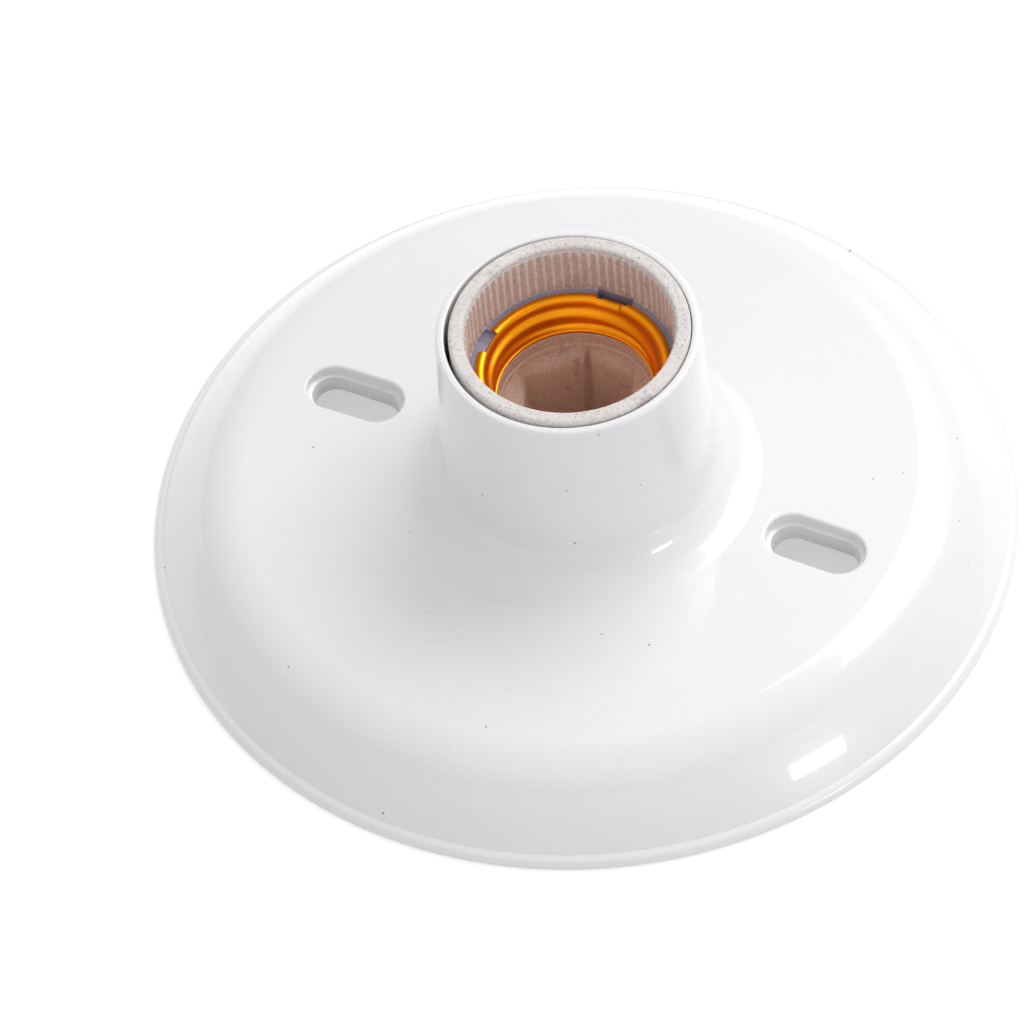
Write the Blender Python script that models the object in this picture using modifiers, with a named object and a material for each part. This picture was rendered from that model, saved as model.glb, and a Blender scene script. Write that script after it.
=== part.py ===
"""Batten lamp holder: a white moulded ceiling plate with a porcelain socket for an E27 lamp cap.

The origin is the centre of the plate's back, +Z runs up the tower and the mounting slots lie along X.
Run it with blender --background --python part.py, or from the text editor.
"""

import math

import bmesh
import bpy

MM = 0.001

# Fits
GAP = 0.3 * MM  # between pieces that rest on each other
SCREW_PLAY = 0.3 * MM  # round a screw's shank in any hole

# Ceiling plate: dish
BASE_RADIUS = 68.4 * MM
LIP_WIDTH = 1.5 * MM
LIP_HEIGHT = 1.7 * MM
LIP_ROUND = 1.4 * MM
SHOULDER_WIDTH = 14.4 * MM  # from the lip in to the flat
SHOULDER_RADIUS = 11.0 * MM  # it rolls over from the flat, then runs straight down to the lip
FLAT_HEIGHT = 12.65 * MM  # height of the dish's face where the flat ends
FLAT_CROWN = 0.6 * MM  # rise of the face from there to the tower
PLATE_WALL = 1.9 * MM
RIM_LAND = 0.4 * MM  # height of the upright inner edge of the back rim

# Ceiling plate: tower
TOWER_HEIGHT = 46.4 * MM
TOWER_BORE_RADIUS = 19.1 * MM
TOWER_RIM_WALL = 1.4 * MM
TOWER_RIM_ROUND = 0.65 * MM
TOWER_MOUTH_ROUND = 0.35 * MM
TOWER_DRAFT = math.radians(2.0)
FLARE_RADIUS = 7.4 * MM
SKIRT_WALL = 1.9 * MM
SKIRT_END = 11.55 * MM  # the ceramic's flange bears up against this end

# Ceiling plate: mounting slots
SLOT_CENTRE = 39.8 * MM
SLOT_SHIFT = 0.35 * MM  # the pair sits off centre by this along X
SLOT_LENGTH = 16.2 * MM
SLOT_WIDTH = 8.4 * MM
SLOT_STEP_DEPTH = 1.85 * MM
SLOT_STEP_WIDTH = 0.75 * MM
SLOT_COLLAR_DEPTH = 4.65 * MM
SLOT_COLLAR_WALL = 1.6 * MM

# Ceiling plate: bosses for the retaining screws
BOSS_RADIUS = 3.2 * MM
BOSS_CLEARANCE = 0.7 * MM  # from the ceramic's flange

# Porcelain body, off centre in the tower as it was fitted
BODY_SHIFT_X = 0.226 * MM
BODY_SHIFT_Y = 0.106 * MM
BODY_TOP = 46.2 * MM
BODY_RADIUS = 18.7 * MM
BODY_RIM_ROUND = 1.3 * MM
BODY_MOUTH_ROUND = 0.9 * MM
COLLAR_RADIUS = 16.25 * MM  # between the ribs
COLLAR_LIP_STEP = 0.2 * MM  # the lip over the ribs is this much wider
LEDGE_HEIGHT = 36.4 * MM
RIB_COUNT = 72
RIB_DEPTH = 0.25 * MM
RIB_TOP = 45.1 * MM
RIB_SHARE = 0.36  # of the pitch that a rib takes
SHELL_SEAT_DEPTH = 5.95 * MM  # from the ledge down to the shell's seat
SHELL_ROOM = 0.5 * MM  # round the threaded shell
SEAT_RING_RADIUS = 12.2 * MM
SEAT_RING_THICKNESS = 2.7 * MM
CHAMBER_RADIUS = 11.6 * MM
CHAMBER_CORNERS = (66.0, 107.0, 161.0)  # degrees, and again half a turn on
CHAMBER_FLOOR = 14.85 * MM
CHAMBER_GROOVE_RADIUS = 0.9 * MM
FLANGE_RADIUS = 22.0 * MM
FLANGE_CHAMFER = 0.5 * MM
BODY_BACK = 7.25 * MM
POCKET_ROOF = 11.75 * MM
POCKET_CLEARANCE = 0.5 * MM
LUG_ANGLE = math.radians(176.0)
LUG_WIDTH = 4.2 * MM
LUG_RISE = 0.9 * MM

# Threaded shell
SHEET = 0.3 * MM
THREAD_MINOR_RADIUS = 12.3 * MM
THREAD_MAJOR_RADIUS = 13.3 * MM
THREAD_PITCH = 3.629 * MM
THREAD_CREST_DROP = 2.75 * MM  # from the ledge down to the crest at the angle below
THREAD_CREST_ANGLE = math.radians(119.0)
SHELL_FLANGE_RADIUS = 15.2 * MM
SHELL_FLANGE_BEND = 14.1 * MM
SHELL_BOTTOM_ROUND = 0.7 * MM
SHELL_COLUMNS = 48
SHELL_THREAD_ROWS = 7
NOTCH_START = math.radians(165.0)
NOTCH_END = math.radians(187.5)
LEG_START = math.radians(82.5)
LEG_END = math.radians(97.5)
LEG_REACH = 1.25 * MM  # the leg's distance outside the flange's bend
FOOT_LENGTH = 9.4 * MM
FOOT_WIDTH = 7.0 * MM

# Terminals and the small screws
TERMINAL_THICKNESS = 1.5 * MM
TERMINAL_WIDTH = 8.2 * MM
TERMINAL_ROUND = 0.6 * MM
LINE_TERMINAL_INNER = 4.9 * MM
LINE_TERMINAL_OUTER = 16.4 * MM
NEUTRAL_TERMINAL_INNER = 5.5 * MM
NEUTRAL_TERMINAL_OUTER = 14.4 * MM
LINE_SCREW_REACH = 12.7 * MM
NEUTRAL_SCREW_REACH = 9.9 * MM
WIRE_SCREW_RADIUS = 1.75 * MM
WIRE_SCREW_LENGTH = 5.3 * MM
WIRE_HEAD_RADIUS = 3.0 * MM
WIRE_HEAD_HEIGHT = 2.2 * MM
WIRE_WASHER_SIDE = 7.0 * MM
WIRE_WASHER_THICKNESS = 0.8 * MM
WIRE_WASHER_CORNER = 1.0 * MM
SCREW_HOLE_SPARE = 0.4 * MM  # depth left past a screw's tip

# Centre contact
CONTACT_THICKNESS = 0.4 * MM
CONTACT_WIDTH = 6.0 * MM
CONTACT_TIP_HEIGHT = 21.85 * MM
CONTACT_PAD_LENGTH = 3.2 * MM
CONTACT_LIP_DROP = 1.3 * MM
CONTACT_LIP_LENGTH = 1.8 * MM
CONTACT_FOOT_END = 9.8 * MM
CONTACT_SCREW_REACH = 6.9 * MM
CONTACT_SCREW_RADIUS = 1.25 * MM
CONTACT_HEAD_RADIUS = 2.2 * MM
CONTACT_HEAD_HEIGHT = 1.5 * MM

# Retaining screws
RETAINING_SCREW_RADIUS = 1.45 * MM
RETAINING_SCREW_LENGTH = 5.6 * MM
RETAINING_HEAD_RADIUS = 2.9 * MM
RETAINING_HEAD_HEIGHT = 2.1 * MM
RETAINING_WASHER_RADIUS = 5.2 * MM
RETAINING_WASHER_THICKNESS = 0.8 * MM
SLOT_SHARE = 0.55  # depth of a driver slot in its head
DRIVER_SLOT_WIDTH = 0.9 * MM

# Fineness
PLATE_STEPS = 60
BODY_STEPS = 48
SCREW_STEPS = 12
PAST = 1.0 * MM  # how far a cutter runs past what it cuts
SHARP_ANGLE = math.radians(35.0)

# Places that follow from the sizes above
FLAT_RADIUS = BASE_RADIUS - LIP_WIDTH - SHOULDER_WIDTH
TOWER_RIM_RADIUS = TOWER_BORE_RADIUS + TOWER_RIM_WALL
BOSS_CENTRE = FLANGE_RADIUS + BOSS_CLEARANCE + BOSS_RADIUS
FLANGE_TOP = SKIRT_END - GAP
SHELL_POCKET_RADIUS = THREAD_MAJOR_RADIUS + SHEET + SHELL_ROOM
SHELL_SEAT_HEIGHT = LEDGE_HEIGHT - SHELL_SEAT_DEPTH
SEAT_RING_BOTTOM = SHELL_SEAT_HEIGHT - SEAT_RING_THICKNESS
THREAD_CREST_HEIGHT = LEDGE_HEIGHT - THREAD_CREST_DROP
SHELL_TOP = LEDGE_HEIGHT + GAP + SHEET
SHELL_BOTTOM = SHELL_SEAT_HEIGHT + GAP
TERMINAL_TOP = POCKET_ROOF - GAP
TERMINAL_BOTTOM = TERMINAL_TOP - TERMINAL_THICKNESS
FOOT_TOP = TERMINAL_BOTTOM - GAP
LINE_WASHER_TOP = TERMINAL_BOTTOM - GAP
NEUTRAL_WASHER_TOP = FOOT_TOP - SHEET - GAP
LINE_HEAD_SEAT = LINE_WASHER_TOP - WIRE_WASHER_THICKNESS - GAP
NEUTRAL_HEAD_SEAT = NEUTRAL_WASHER_TOP - WIRE_WASHER_THICKNESS - GAP
CONTACT_HEAD_SEAT = CHAMBER_FLOOR + GAP + CONTACT_THICKNESS + GAP
LEG_RADIUS = SHELL_FLANGE_BEND + LEG_REACH
RETAINING_WASHER_TOP = BODY_BACK - GAP
RETAINING_HEAD_SEAT = RETAINING_WASHER_TOP - RETAINING_WASHER_THICKNESS - GAP


def clear_scene():
    """Removes the objects of the startup scene."""
    for obj in list(bpy.data.objects):
        bpy.data.objects.remove(obj, do_unlink=True)


def make_collection(name):
    collection = bpy.data.collections.new(name)
    bpy.context.scene.collection.children.link(collection)
    return collection


def make_material(name, colour, roughness, metallic=0.0):
    material = bpy.data.materials.new(name)
    material.use_nodes = True
    shader = material.node_tree.nodes["Principled BSDF"]
    shader.inputs["Base Color"].default_value = (*colour, 1.0)
    shader.inputs["Roughness"].default_value = roughness
    shader.inputs["Metallic"].default_value = metallic
    return material


def add_object(name, mesh, collection, parent=None):
    obj = bpy.data.objects.new(name, mesh)
    collection.objects.link(obj)
    obj.parent = parent
    return obj


def mesh_from(name, build):
    """A mesh made by build, a function that fills a bmesh."""
    bm = bmesh.new()
    build(bm)
    mesh = bpy.data.meshes.new(name)
    bm.to_mesh(mesh)
    bm.free()
    return mesh


def as_cutter(obj):
    obj.hide_render = True
    obj.display_type = "WIRE"
    return obj


def combine(target, tool, operation="DIFFERENCE"):
    """Cuts the tool from the target, or joins it on with UNION."""
    modifier = target.modifiers.new(tool.name, "BOOLEAN")
    modifier.operation = operation
    modifier.solver = "EXACT"
    modifier.object = tool
    return target


def settle(obj, material):
    """Makes the evaluated shape the object's own mesh, smooth with its sharp edges kept."""
    graph = bpy.context.evaluated_depsgraph_get()
    mesh = bpy.data.meshes.new_from_object(obj.evaluated_get(graph))
    mesh.name = obj.name
    obj.modifiers.clear()
    obj.data = mesh
    mesh.materials.clear()
    mesh.materials.append(material)
    mesh.shade_smooth()
    mesh.set_sharp_from_angle(angle=SHARP_ANGLE)
    return obj


def arc(centre_r, centre_z, radius, start, end, segments):
    """Points (r, z) on an arc, ends included. The angles are in degrees from +r."""
    points = []
    for i in range(segments + 1):
        angle = math.radians(start + (end - start) * i / segments)
        points.append((centre_r + radius * math.cos(angle), centre_z + radius * math.sin(angle)))
    return points


def turned(name, profile, steps, collection, parent=None, closed=False):
    """A solid of revolution about Z. The profile runs down its outer side."""
    mesh = bpy.data.meshes.new(name)
    count = len(profile)
    edges = [(i, i + 1) for i in range(count - 1)]
    if closed:
        edges.append((count - 1, 0))
    mesh.from_pydata([(r, 0.0, z) for r, z in profile], edges, [])
    obj = add_object(name, mesh, collection, parent)
    screw = obj.modifiers.new("turn", "SCREW")
    screw.axis = "Z"
    screw.angle = math.tau
    screw.steps = screw.render_steps = steps
    screw.use_merge_vertices = True
    screw.merge_threshold = 1e-6
    return obj


def cylinder(name, radius, bottom, top, collection, x=0.0, y=0.0, parent=None, segments=20, top_radius=None):
    """An upright cylinder, or a cone where top_radius is given."""

    def build(bm):
        bmesh.ops.create_cone(
            bm,
            cap_ends=True,
            segments=segments,
            radius1=radius,
            radius2=radius if top_radius is None else top_radius,
            depth=top - bottom,
        )

    obj = add_object(name, mesh_from(name, build), collection, parent)
    obj.location = (x, y, (bottom + top) / 2)
    return obj


def block(name, low, high, collection, parent=None):
    """A box between two corners."""

    def build(bm):
        bmesh.ops.create_cube(bm, size=1.0)
        bmesh.ops.scale(bm, vec=[h - l for l, h in zip(low, high)], verts=bm.verts)

    obj = add_object(name, mesh_from(name, build), collection, parent)
    obj.location = [(l + h) / 2 for l, h in zip(low, high)]
    return obj


def slab(name, outline, bottom, top, collection, x=0.0, y=0.0, parent=None):
    """A flat outline with this thickness, made as a filled curve and turned into a mesh."""
    curve = bpy.data.curves.new(name + "_outline", "CURVE")
    curve.dimensions = "2D"
    curve.fill_mode = "BOTH"
    curve.extrude = (top - bottom) / 2
    spline = curve.splines.new("POLY")
    spline.points.add(len(outline) - 1)
    for point, (px, py) in zip(spline.points, outline):
        point.co = (px, py, 0.0, 1.0)
    spline.use_cyclic_u = True
    guide = add_object(name + "_outline", curve, collection)
    graph = bpy.context.evaluated_depsgraph_get()
    mesh = bpy.data.meshes.new_from_object(guide.evaluated_get(graph))
    mesh.name = name
    bpy.data.objects.remove(guide, do_unlink=True)
    bm = bmesh.new()
    bm.from_mesh(mesh)
    bmesh.ops.remove_doubles(bm, verts=bm.verts, dist=1e-7)
    bmesh.ops.recalc_face_normals(bm, faces=bm.faces)
    bm.to_mesh(mesh)
    bm.free()
    obj = add_object(name, mesh, collection, parent)
    obj.location = (x, y, (bottom + top) / 2)
    return obj


def stadium(length, width, segments=7):
    """Outline of a slot with round ends, along X."""
    half = (length - width) / 2
    right = arc(half, 0.0, width / 2, -90.0, 90.0, segments)
    left = arc(-half, 0.0, width / 2, 90.0, 270.0, segments)
    return right + left


def flare_centre():
    """Centre (r, z) of the flare between the tower's drafted wall and the dish."""
    z = FLAT_HEIGHT + FLAT_CROWN + FLARE_RADIUS
    wall = TOWER_RIM_RADIUS + (TOWER_HEIGHT - TOWER_RIM_ROUND - z) * math.tan(TOWER_DRAFT)
    return wall + FLARE_RADIUS / math.cos(TOWER_DRAFT), z


def shoulder_sweep():
    """Degrees that the shoulder rolls through before it runs straight to the lip, which is also that slope."""
    rise = LIP_HEIGHT - (FLAT_HEIGHT - SHOULDER_RADIUS)
    reach = math.hypot(SHOULDER_WIDTH, rise)
    return 90.0 - math.degrees(math.atan2(rise, SHOULDER_WIDTH) + math.acos(SHOULDER_RADIUS / reach))


def dish_height(radius):
    """Height of the dish's face at this distance from the axis."""
    foot = flare_centre()[0]
    share = (FLAT_RADIUS - radius) / (FLAT_RADIUS - foot)
    return FLAT_HEIGHT + FLAT_CROWN * share


def plate_outside():
    flare_r, flare_z = flare_centre()
    roll = SHOULDER_RADIUS
    rim = TOWER_RIM_ROUND
    lip = LIP_ROUND
    points = [(0.0, TOWER_HEIGHT)]
    points += arc(TOWER_RIM_RADIUS - rim, TOWER_HEIGHT - rim, rim, 90.0, 0.0, 2)
    points += arc(flare_r, flare_z, FLARE_RADIUS, 180.0 + math.degrees(TOWER_DRAFT), 270.0, 5)
    points += arc(FLAT_RADIUS, FLAT_HEIGHT - roll, roll, 90.0, 90.0 - shoulder_sweep(), 5)
    points += [(BASE_RADIUS - LIP_WIDTH, LIP_HEIGHT)]
    points += arc(BASE_RADIUS - lip, LIP_HEIGHT - lip, lip, 90.0, 0.0, 2)
    points += [(BASE_RADIUS, 0.0), (0.0, 0.0)]
    return points


def plate_inside():
    """Outline of the hollow: the tower's bore, the flare's underside and the dish's underside."""
    flare_r, flare_z = flare_centre()
    sweep = shoulder_sweep()
    skirt = TOWER_BORE_RADIUS + SKIRT_WALL
    under = FLARE_RADIUS + PLATE_WALL
    start = 180.0 + math.degrees(math.acos((flare_r - skirt) / under))
    mouth = TOWER_MOUTH_ROUND
    points = [(0.0, TOWER_HEIGHT + mouth)]
    points += [(TOWER_BORE_RADIUS + 2 * mouth, TOWER_HEIGHT + mouth)]
    points += [(TOWER_BORE_RADIUS, TOWER_HEIGHT - mouth)]
    points += [(TOWER_BORE_RADIUS, SKIRT_END), (skirt, SKIRT_END)]
    points += arc(flare_r, flare_z, under, start, 270.0, 3)
    roll = SHOULDER_RADIUS
    points += arc(FLAT_RADIUS, FLAT_HEIGHT - roll, roll - PLATE_WALL, 90.0, 90.0 - sweep, 3)
    end_r, end_z = points[-1]
    foot = end_r + (end_z - RIM_LAND) / math.tan(math.radians(sweep))
    points += [(foot, RIM_LAND), (foot, -PAST), (0.0, -PAST)]
    return points


def build_plate(parts, cutters, material):
    """The white moulding. Its hollow leaves out the bosses and the collars of the slots, which stay on."""
    plate = turned("ceiling_plate", plate_outside(), PLATE_STEPS, parts)
    hollow = as_cutter(turned("plate_hollow", plate_inside(), PLATE_STEPS, cutters))
    hollow.rotation_euler = (0.0, 0.0, math.pi / PLATE_STEPS)  # its edges fall between those outside
    narrow_length = SLOT_LENGTH - 2 * SLOT_STEP_WIDTH
    narrow_width = SLOT_WIDTH - 2 * SLOT_STEP_WIDTH
    face = dish_height(SLOT_CENTRE)
    above = TOWER_HEIGHT / 2
    hole_radius = RETAINING_SCREW_RADIUS + SCREW_PLAY
    hole_top = RETAINING_HEAD_SEAT + RETAINING_SCREW_LENGTH + SCREW_HOLE_SPARE
    for side, sign in (("left", -1.0), ("right", 1.0)):
        boss = cylinder(f"boss_{side}", BOSS_RADIUS, BODY_BACK, above, cutters, x=sign * BOSS_CENTRE)
        collar_length = narrow_length + 2 * SLOT_COLLAR_WALL
        collar_width = narrow_width + 2 * SLOT_COLLAR_WALL
        collar = slab(
            f"collar_{side}",
            stadium(collar_length, collar_width),
            face - SLOT_COLLAR_DEPTH,
            above,
            cutters,
            x=SLOT_SHIFT + sign * SLOT_CENTRE,
        )
        combine(hollow, as_cutter(boss))
        combine(hollow, as_cutter(collar))
    combine(plate, hollow)
    for side, sign in (("left", -1.0), ("right", 1.0)):
        wide = slab(
            f"slot_step_{side}",
            stadium(SLOT_LENGTH, SLOT_WIDTH),
            face - SLOT_STEP_DEPTH,
            above,
            cutters,
            x=SLOT_SHIFT + sign * SLOT_CENTRE,
        )
        narrow = slab(
            f"slot_{side}",
            stadium(narrow_length, narrow_width),
            -PAST,
            above,
            cutters,
            x=SLOT_SHIFT + sign * SLOT_CENTRE,
        )
        hole = cylinder(
            f"boss_hole_{side}", hole_radius, -PAST, hole_top, cutters,
            x=sign * BOSS_CENTRE, segments=SCREW_STEPS,
        )
        for tool in (wide, narrow, hole):
            combine(plate, as_cutter(tool))
    return settle(plate, material)


def body_section():
    """Outline of the ceramic, from the chamber's top out over the rim and down to the back."""
    rim = BODY_RIM_ROUND
    mouth = BODY_MOUTH_ROUND
    ledge = LEDGE_HEIGHT + GAP
    points = [(0.0, SEAT_RING_BOTTOM), (SEAT_RING_RADIUS, SEAT_RING_BOTTOM)]
    points += [(SEAT_RING_RADIUS, SHELL_SEAT_HEIGHT), (SHELL_POCKET_RADIUS, SHELL_SEAT_HEIGHT)]
    lip = COLLAR_RADIUS + COLLAR_LIP_STEP
    stock = COLLAR_RADIUS - 3 * RIB_DEPTH
    points += [(SHELL_POCKET_RADIUS, ledge), (stock, ledge), (stock, RIB_TOP), (lip, RIB_TOP)]
    points += arc(lip + mouth, BODY_TOP - mouth, mouth, 180.0, 90.0, 3)
    points += arc(BODY_RADIUS - rim, BODY_TOP - rim, rim, 90.0, 0.0, 3)
    points += [(BODY_RADIUS, FLANGE_TOP), (FLANGE_RADIUS - FLANGE_CHAMFER, FLANGE_TOP)]
    points += [(FLANGE_RADIUS, FLANGE_TOP - FLANGE_CHAMFER), (FLANGE_RADIUS, BODY_BACK + FLANGE_CHAMFER)]
    points += [(FLANGE_RADIUS - FLANGE_CHAMFER, BODY_BACK), (0.0, BODY_BACK)]
    return points


def rib_outline():
    """The collar's bore: flat valleys with a narrow rib between each two."""
    pitch = math.tau / RIB_COUNT
    valley = COLLAR_RADIUS
    crest = COLLAR_RADIUS - RIB_DEPTH
    points = []
    for i in range(RIB_COUNT):
        for share, radius in ((0.0, crest), (RIB_SHARE / 2, valley), (1.0 - RIB_SHARE / 2, valley)):
            angle = pitch * (i + share)
            points.append((radius * math.cos(angle), radius * math.sin(angle)))
    return points


def chamber_outline():
    angles = [math.radians(a + turn) for turn in (0.0, 180.0) for a in CHAMBER_CORNERS]
    return [(CHAMBER_RADIUS * math.cos(a), CHAMBER_RADIUS * math.sin(a)) for a in angles]


def pocket(name, inner, outer, cutters, insert):
    """Pocket in the ceramic's back for a terminal, between these distances from the axis along +Y or -Y."""
    half = TERMINAL_WIDTH / 2 + POCKET_CLEARANCE
    low_y, high_y = sorted((inner, outer))
    low = (-half, low_y - POCKET_CLEARANCE, BODY_BACK - PAST)
    high = (half, high_y + POCKET_CLEARANCE, POCKET_ROOF)
    return block(name, low, high, cutters, parent=insert)


def build_body(parts, cutters, insert, material):
    body = turned("porcelain_body", body_section(), BODY_STEPS, parts, parent=insert)
    ribs = slab("rib_bore", rib_outline(), LEDGE_HEIGHT, RIB_TOP + PAST, cutters, parent=insert)
    chamber = slab(
        "chamber", chamber_outline(), CHAMBER_FLOOR, SEAT_RING_BOTTOM + PAST, cutters, parent=insert
    )
    groove_angle = math.radians(CHAMBER_CORNERS[1])
    groove = cylinder(
        "chamber_groove",
        CHAMBER_GROOVE_RADIUS,
        CHAMBER_FLOOR + GAP,
        SEAT_RING_BOTTOM + GAP,
        cutters,
        x=CHAMBER_RADIUS * math.cos(groove_angle),
        y=CHAMBER_RADIUS * math.sin(groove_angle),
        parent=insert,
        segments=8,
        top_radius=CHAMBER_GROOVE_RADIUS / 6,
    )
    line_pocket = pocket("line_pocket", -LINE_TERMINAL_INNER, -LINE_TERMINAL_OUTER, cutters, insert)
    neutral_pocket = pocket(
        "neutral_pocket", NEUTRAL_TERMINAL_INNER, LEG_RADIUS + SHEET + POCKET_CLEARANCE, cutters, insert
    )
    leg_half = LEG_RADIUS * math.sin((LEG_END - LEG_START) / 2) + 2 * POCKET_CLEARANCE
    channel = block(
        "leg_channel",
        (-leg_half, SHELL_POCKET_RADIUS - POCKET_CLEARANCE, BODY_BACK),
        (leg_half, LEG_RADIUS + SHEET + POCKET_CLEARANCE, LEDGE_HEIGHT + PAST),
        cutters,
        parent=insert,
    )
    line_tip = LINE_HEAD_SEAT + WIRE_SCREW_LENGTH + SCREW_HOLE_SPARE
    neutral_tip = NEUTRAL_HEAD_SEAT + WIRE_SCREW_LENGTH + SCREW_HOLE_SPARE
    wire_hole = WIRE_SCREW_RADIUS + SCREW_PLAY
    line_hole = cylinder(
        "line_hole", wire_hole, BODY_BACK, line_tip, cutters, y=-LINE_SCREW_REACH, parent=insert,
        segments=SCREW_STEPS,
    )
    neutral_hole = cylinder(
        "neutral_hole", wire_hole, BODY_BACK, neutral_tip, cutters, y=NEUTRAL_SCREW_REACH, parent=insert,
        segments=SCREW_STEPS,
    )
    contact_hole = cylinder(
        "contact_hole", CONTACT_SCREW_RADIUS + SCREW_PLAY, BODY_BACK, CHAMBER_FLOOR + PAST, cutters,
        y=-CONTACT_SCREW_REACH, parent=insert, segments=SCREW_STEPS,
    )
    lug_inner = SHELL_FLANGE_BEND + SHEET + GAP
    lug = block(
        "stop_lug",
        (lug_inner, -LUG_WIDTH / 2, LEDGE_HEIGHT - PAST),
        (COLLAR_RADIUS + RIB_DEPTH, LUG_WIDTH / 2, LEDGE_HEIGHT + LUG_RISE),
        cutters,
        parent=insert,
    )
    place_at_angle(lug, LUG_ANGLE)
    for tool in (ribs, chamber, groove, channel, line_pocket, neutral_pocket, line_hole, neutral_hole,
                 contact_hole):
        combine(body, as_cutter(tool))
    combine(body, as_cutter(lug), "UNION")
    return settle(body, material)


def place_at_angle(obj, angle):
    """Turns an object that was placed on +X to this angle about the axis."""
    x, _, z = obj.location
    obj.location = (x * math.cos(angle), x * math.sin(angle), z)
    obj.rotation_euler = (0.0, 0.0, angle)


def thread_radius(height, angle):
    """Inner radius of the rolled thread: a right-hand helix of rounded crests and grooves."""
    turn = (height - THREAD_CREST_HEIGHT) / THREAD_PITCH - (angle - THREAD_CREST_ANGLE) / math.tau
    middle = (THREAD_MINOR_RADIUS + THREAD_MAJOR_RADIUS) / 2
    return middle - (THREAD_MAJOR_RADIUS - THREAD_MINOR_RADIUS) / 2 * math.cos(math.tau * turn)


def shell_rows():
    """Rows of the sheet from the turned-in bottom up to the flange, each a function of angle to (r, z)."""
    top = SHELL_TOP - SHEET / 2
    bottom = SHELL_BOTTOM + SHEET / 2
    thread_low = bottom + SHELL_BOTTOM_ROUND
    thread_high = top - SHELL_BOTTOM_ROUND
    rows = [lambda a: (THREAD_MINOR_RADIUS, bottom)]
    for i in range(SHELL_THREAD_ROWS + 1):
        height = thread_low + (thread_high - thread_low) * i / SHELL_THREAD_ROWS
        rows.append(lambda a, z=height: (thread_radius(z, a) + SHEET / 2, z))
    rows.append(lambda a: (SHELL_FLANGE_BEND - SHEET, top - SHEET / 2))
    rows.append(lambda a: (SHELL_FLANGE_BEND, top))
    return rows


def leg_path():
    """Centre line (y, z, half width) of the leg, from the flange down the channel to under the terminal."""
    narrow = LEG_RADIUS * math.sin((LEG_END - LEG_START) / 2)
    wide = FOOT_WIDTH / 2
    top = SHELL_TOP - SHEET / 2
    foot = FOOT_TOP - SHEET / 2
    bend = 2 * SHEET
    return [
        (LEG_RADIUS - bend, top, narrow),
        (LEG_RADIUS - bend * 0.3, top - bend * 0.3, narrow),
        (LEG_RADIUS, top - bend, narrow),
        (LEG_RADIUS, foot + bend, narrow),
        (LEG_RADIUS - bend * 0.3, foot + bend * 0.3, narrow),
        (LEG_RADIUS - bend, foot, narrow),
        (NEUTRAL_SCREW_REACH + FOOT_WIDTH / 2, foot, wide),
        (LEG_RADIUS - FOOT_LENGTH, foot, wide),
    ]


def build_shell(parts, cutters, insert, material):
    """One sheet: a rolled thread with a flange that stops at the notch, and the leg drawn from its edge."""
    rows = shell_rows()
    step = math.tau / SHELL_COLUMNS
    bm = bmesh.new()
    bmesh.ops.create_grid(bm, x_segments=SHELL_COLUMNS, y_segments=len(rows) - 1, size=0.5)
    for vert in bm.verts:
        column = round((vert.co.x + 0.5) * SHELL_COLUMNS)
        row = round((vert.co.y + 0.5) * (len(rows) - 1))
        angle = column * step
        r, z = rows[row](angle % math.tau)
        vert.co = (r * math.cos(angle), r * math.sin(angle), z)
    bmesh.ops.remove_doubles(bm, verts=bm.verts, dist=1e-6)
    top = SHELL_TOP - SHEET / 2
    edge = [e for e in bm.edges if len(e.link_faces) == 1 and all(v.co.z > top - SHEET / 4 for v in e.verts)]

    def between(e, start, end):
        middle = (e.verts[0].co + e.verts[1].co) / 2
        return start < math.atan2(middle.y, middle.x) % math.tau < end

    leg_edges = [e for e in edge if between(e, LEG_START, LEG_END)]
    notch_edges = [e for e in edge if between(e, NOTCH_START, NOTCH_END)]
    rim_edges = [e for e in edge if e not in leg_edges and e not in notch_edges]
    drawn = bmesh.ops.extrude_edge_only(bm, edges=rim_edges)["geom"]
    for vert in (v for v in drawn if isinstance(v, bmesh.types.BMVert)):
        angle = math.atan2(vert.co.y, vert.co.x)
        radius = SHELL_FLANGE_RADIUS - SHEET / 4
        vert.co = (radius * math.cos(angle), radius * math.sin(angle), top)
    for y, z, half in leg_path():
        drawn = bmesh.ops.extrude_edge_only(bm, edges=leg_edges)["geom"]
        leg_edges = [e for e in drawn if isinstance(e, bmesh.types.BMEdge)]
        verts = sorted((v for v in drawn if isinstance(v, bmesh.types.BMVert)), key=lambda v: v.co.x)
        for i, vert in enumerate(verts):
            vert.co = (half * (2 * i / (len(verts) - 1) - 1), y, z)
    bmesh.ops.recalc_face_normals(bm, faces=bm.faces)
    mesh = bpy.data.meshes.new("threaded_shell")
    bm.to_mesh(mesh)
    bm.free()
    shell = add_object("threaded_shell", mesh, parts, parent=insert)
    solid = shell.modifiers.new("sheet", "SOLIDIFY")
    solid.thickness = SHEET
    solid.offset = 0.0
    solid.use_even_offset = True
    hole = cylinder(
        "foot_hole", WIRE_SCREW_RADIUS + SCREW_PLAY, BODY_BACK, POCKET_ROOF, cutters,
        y=NEUTRAL_SCREW_REACH, parent=insert, segments=SCREW_STEPS,
    )
    combine(shell, as_cutter(hole))
    return settle(shell, material)


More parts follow.
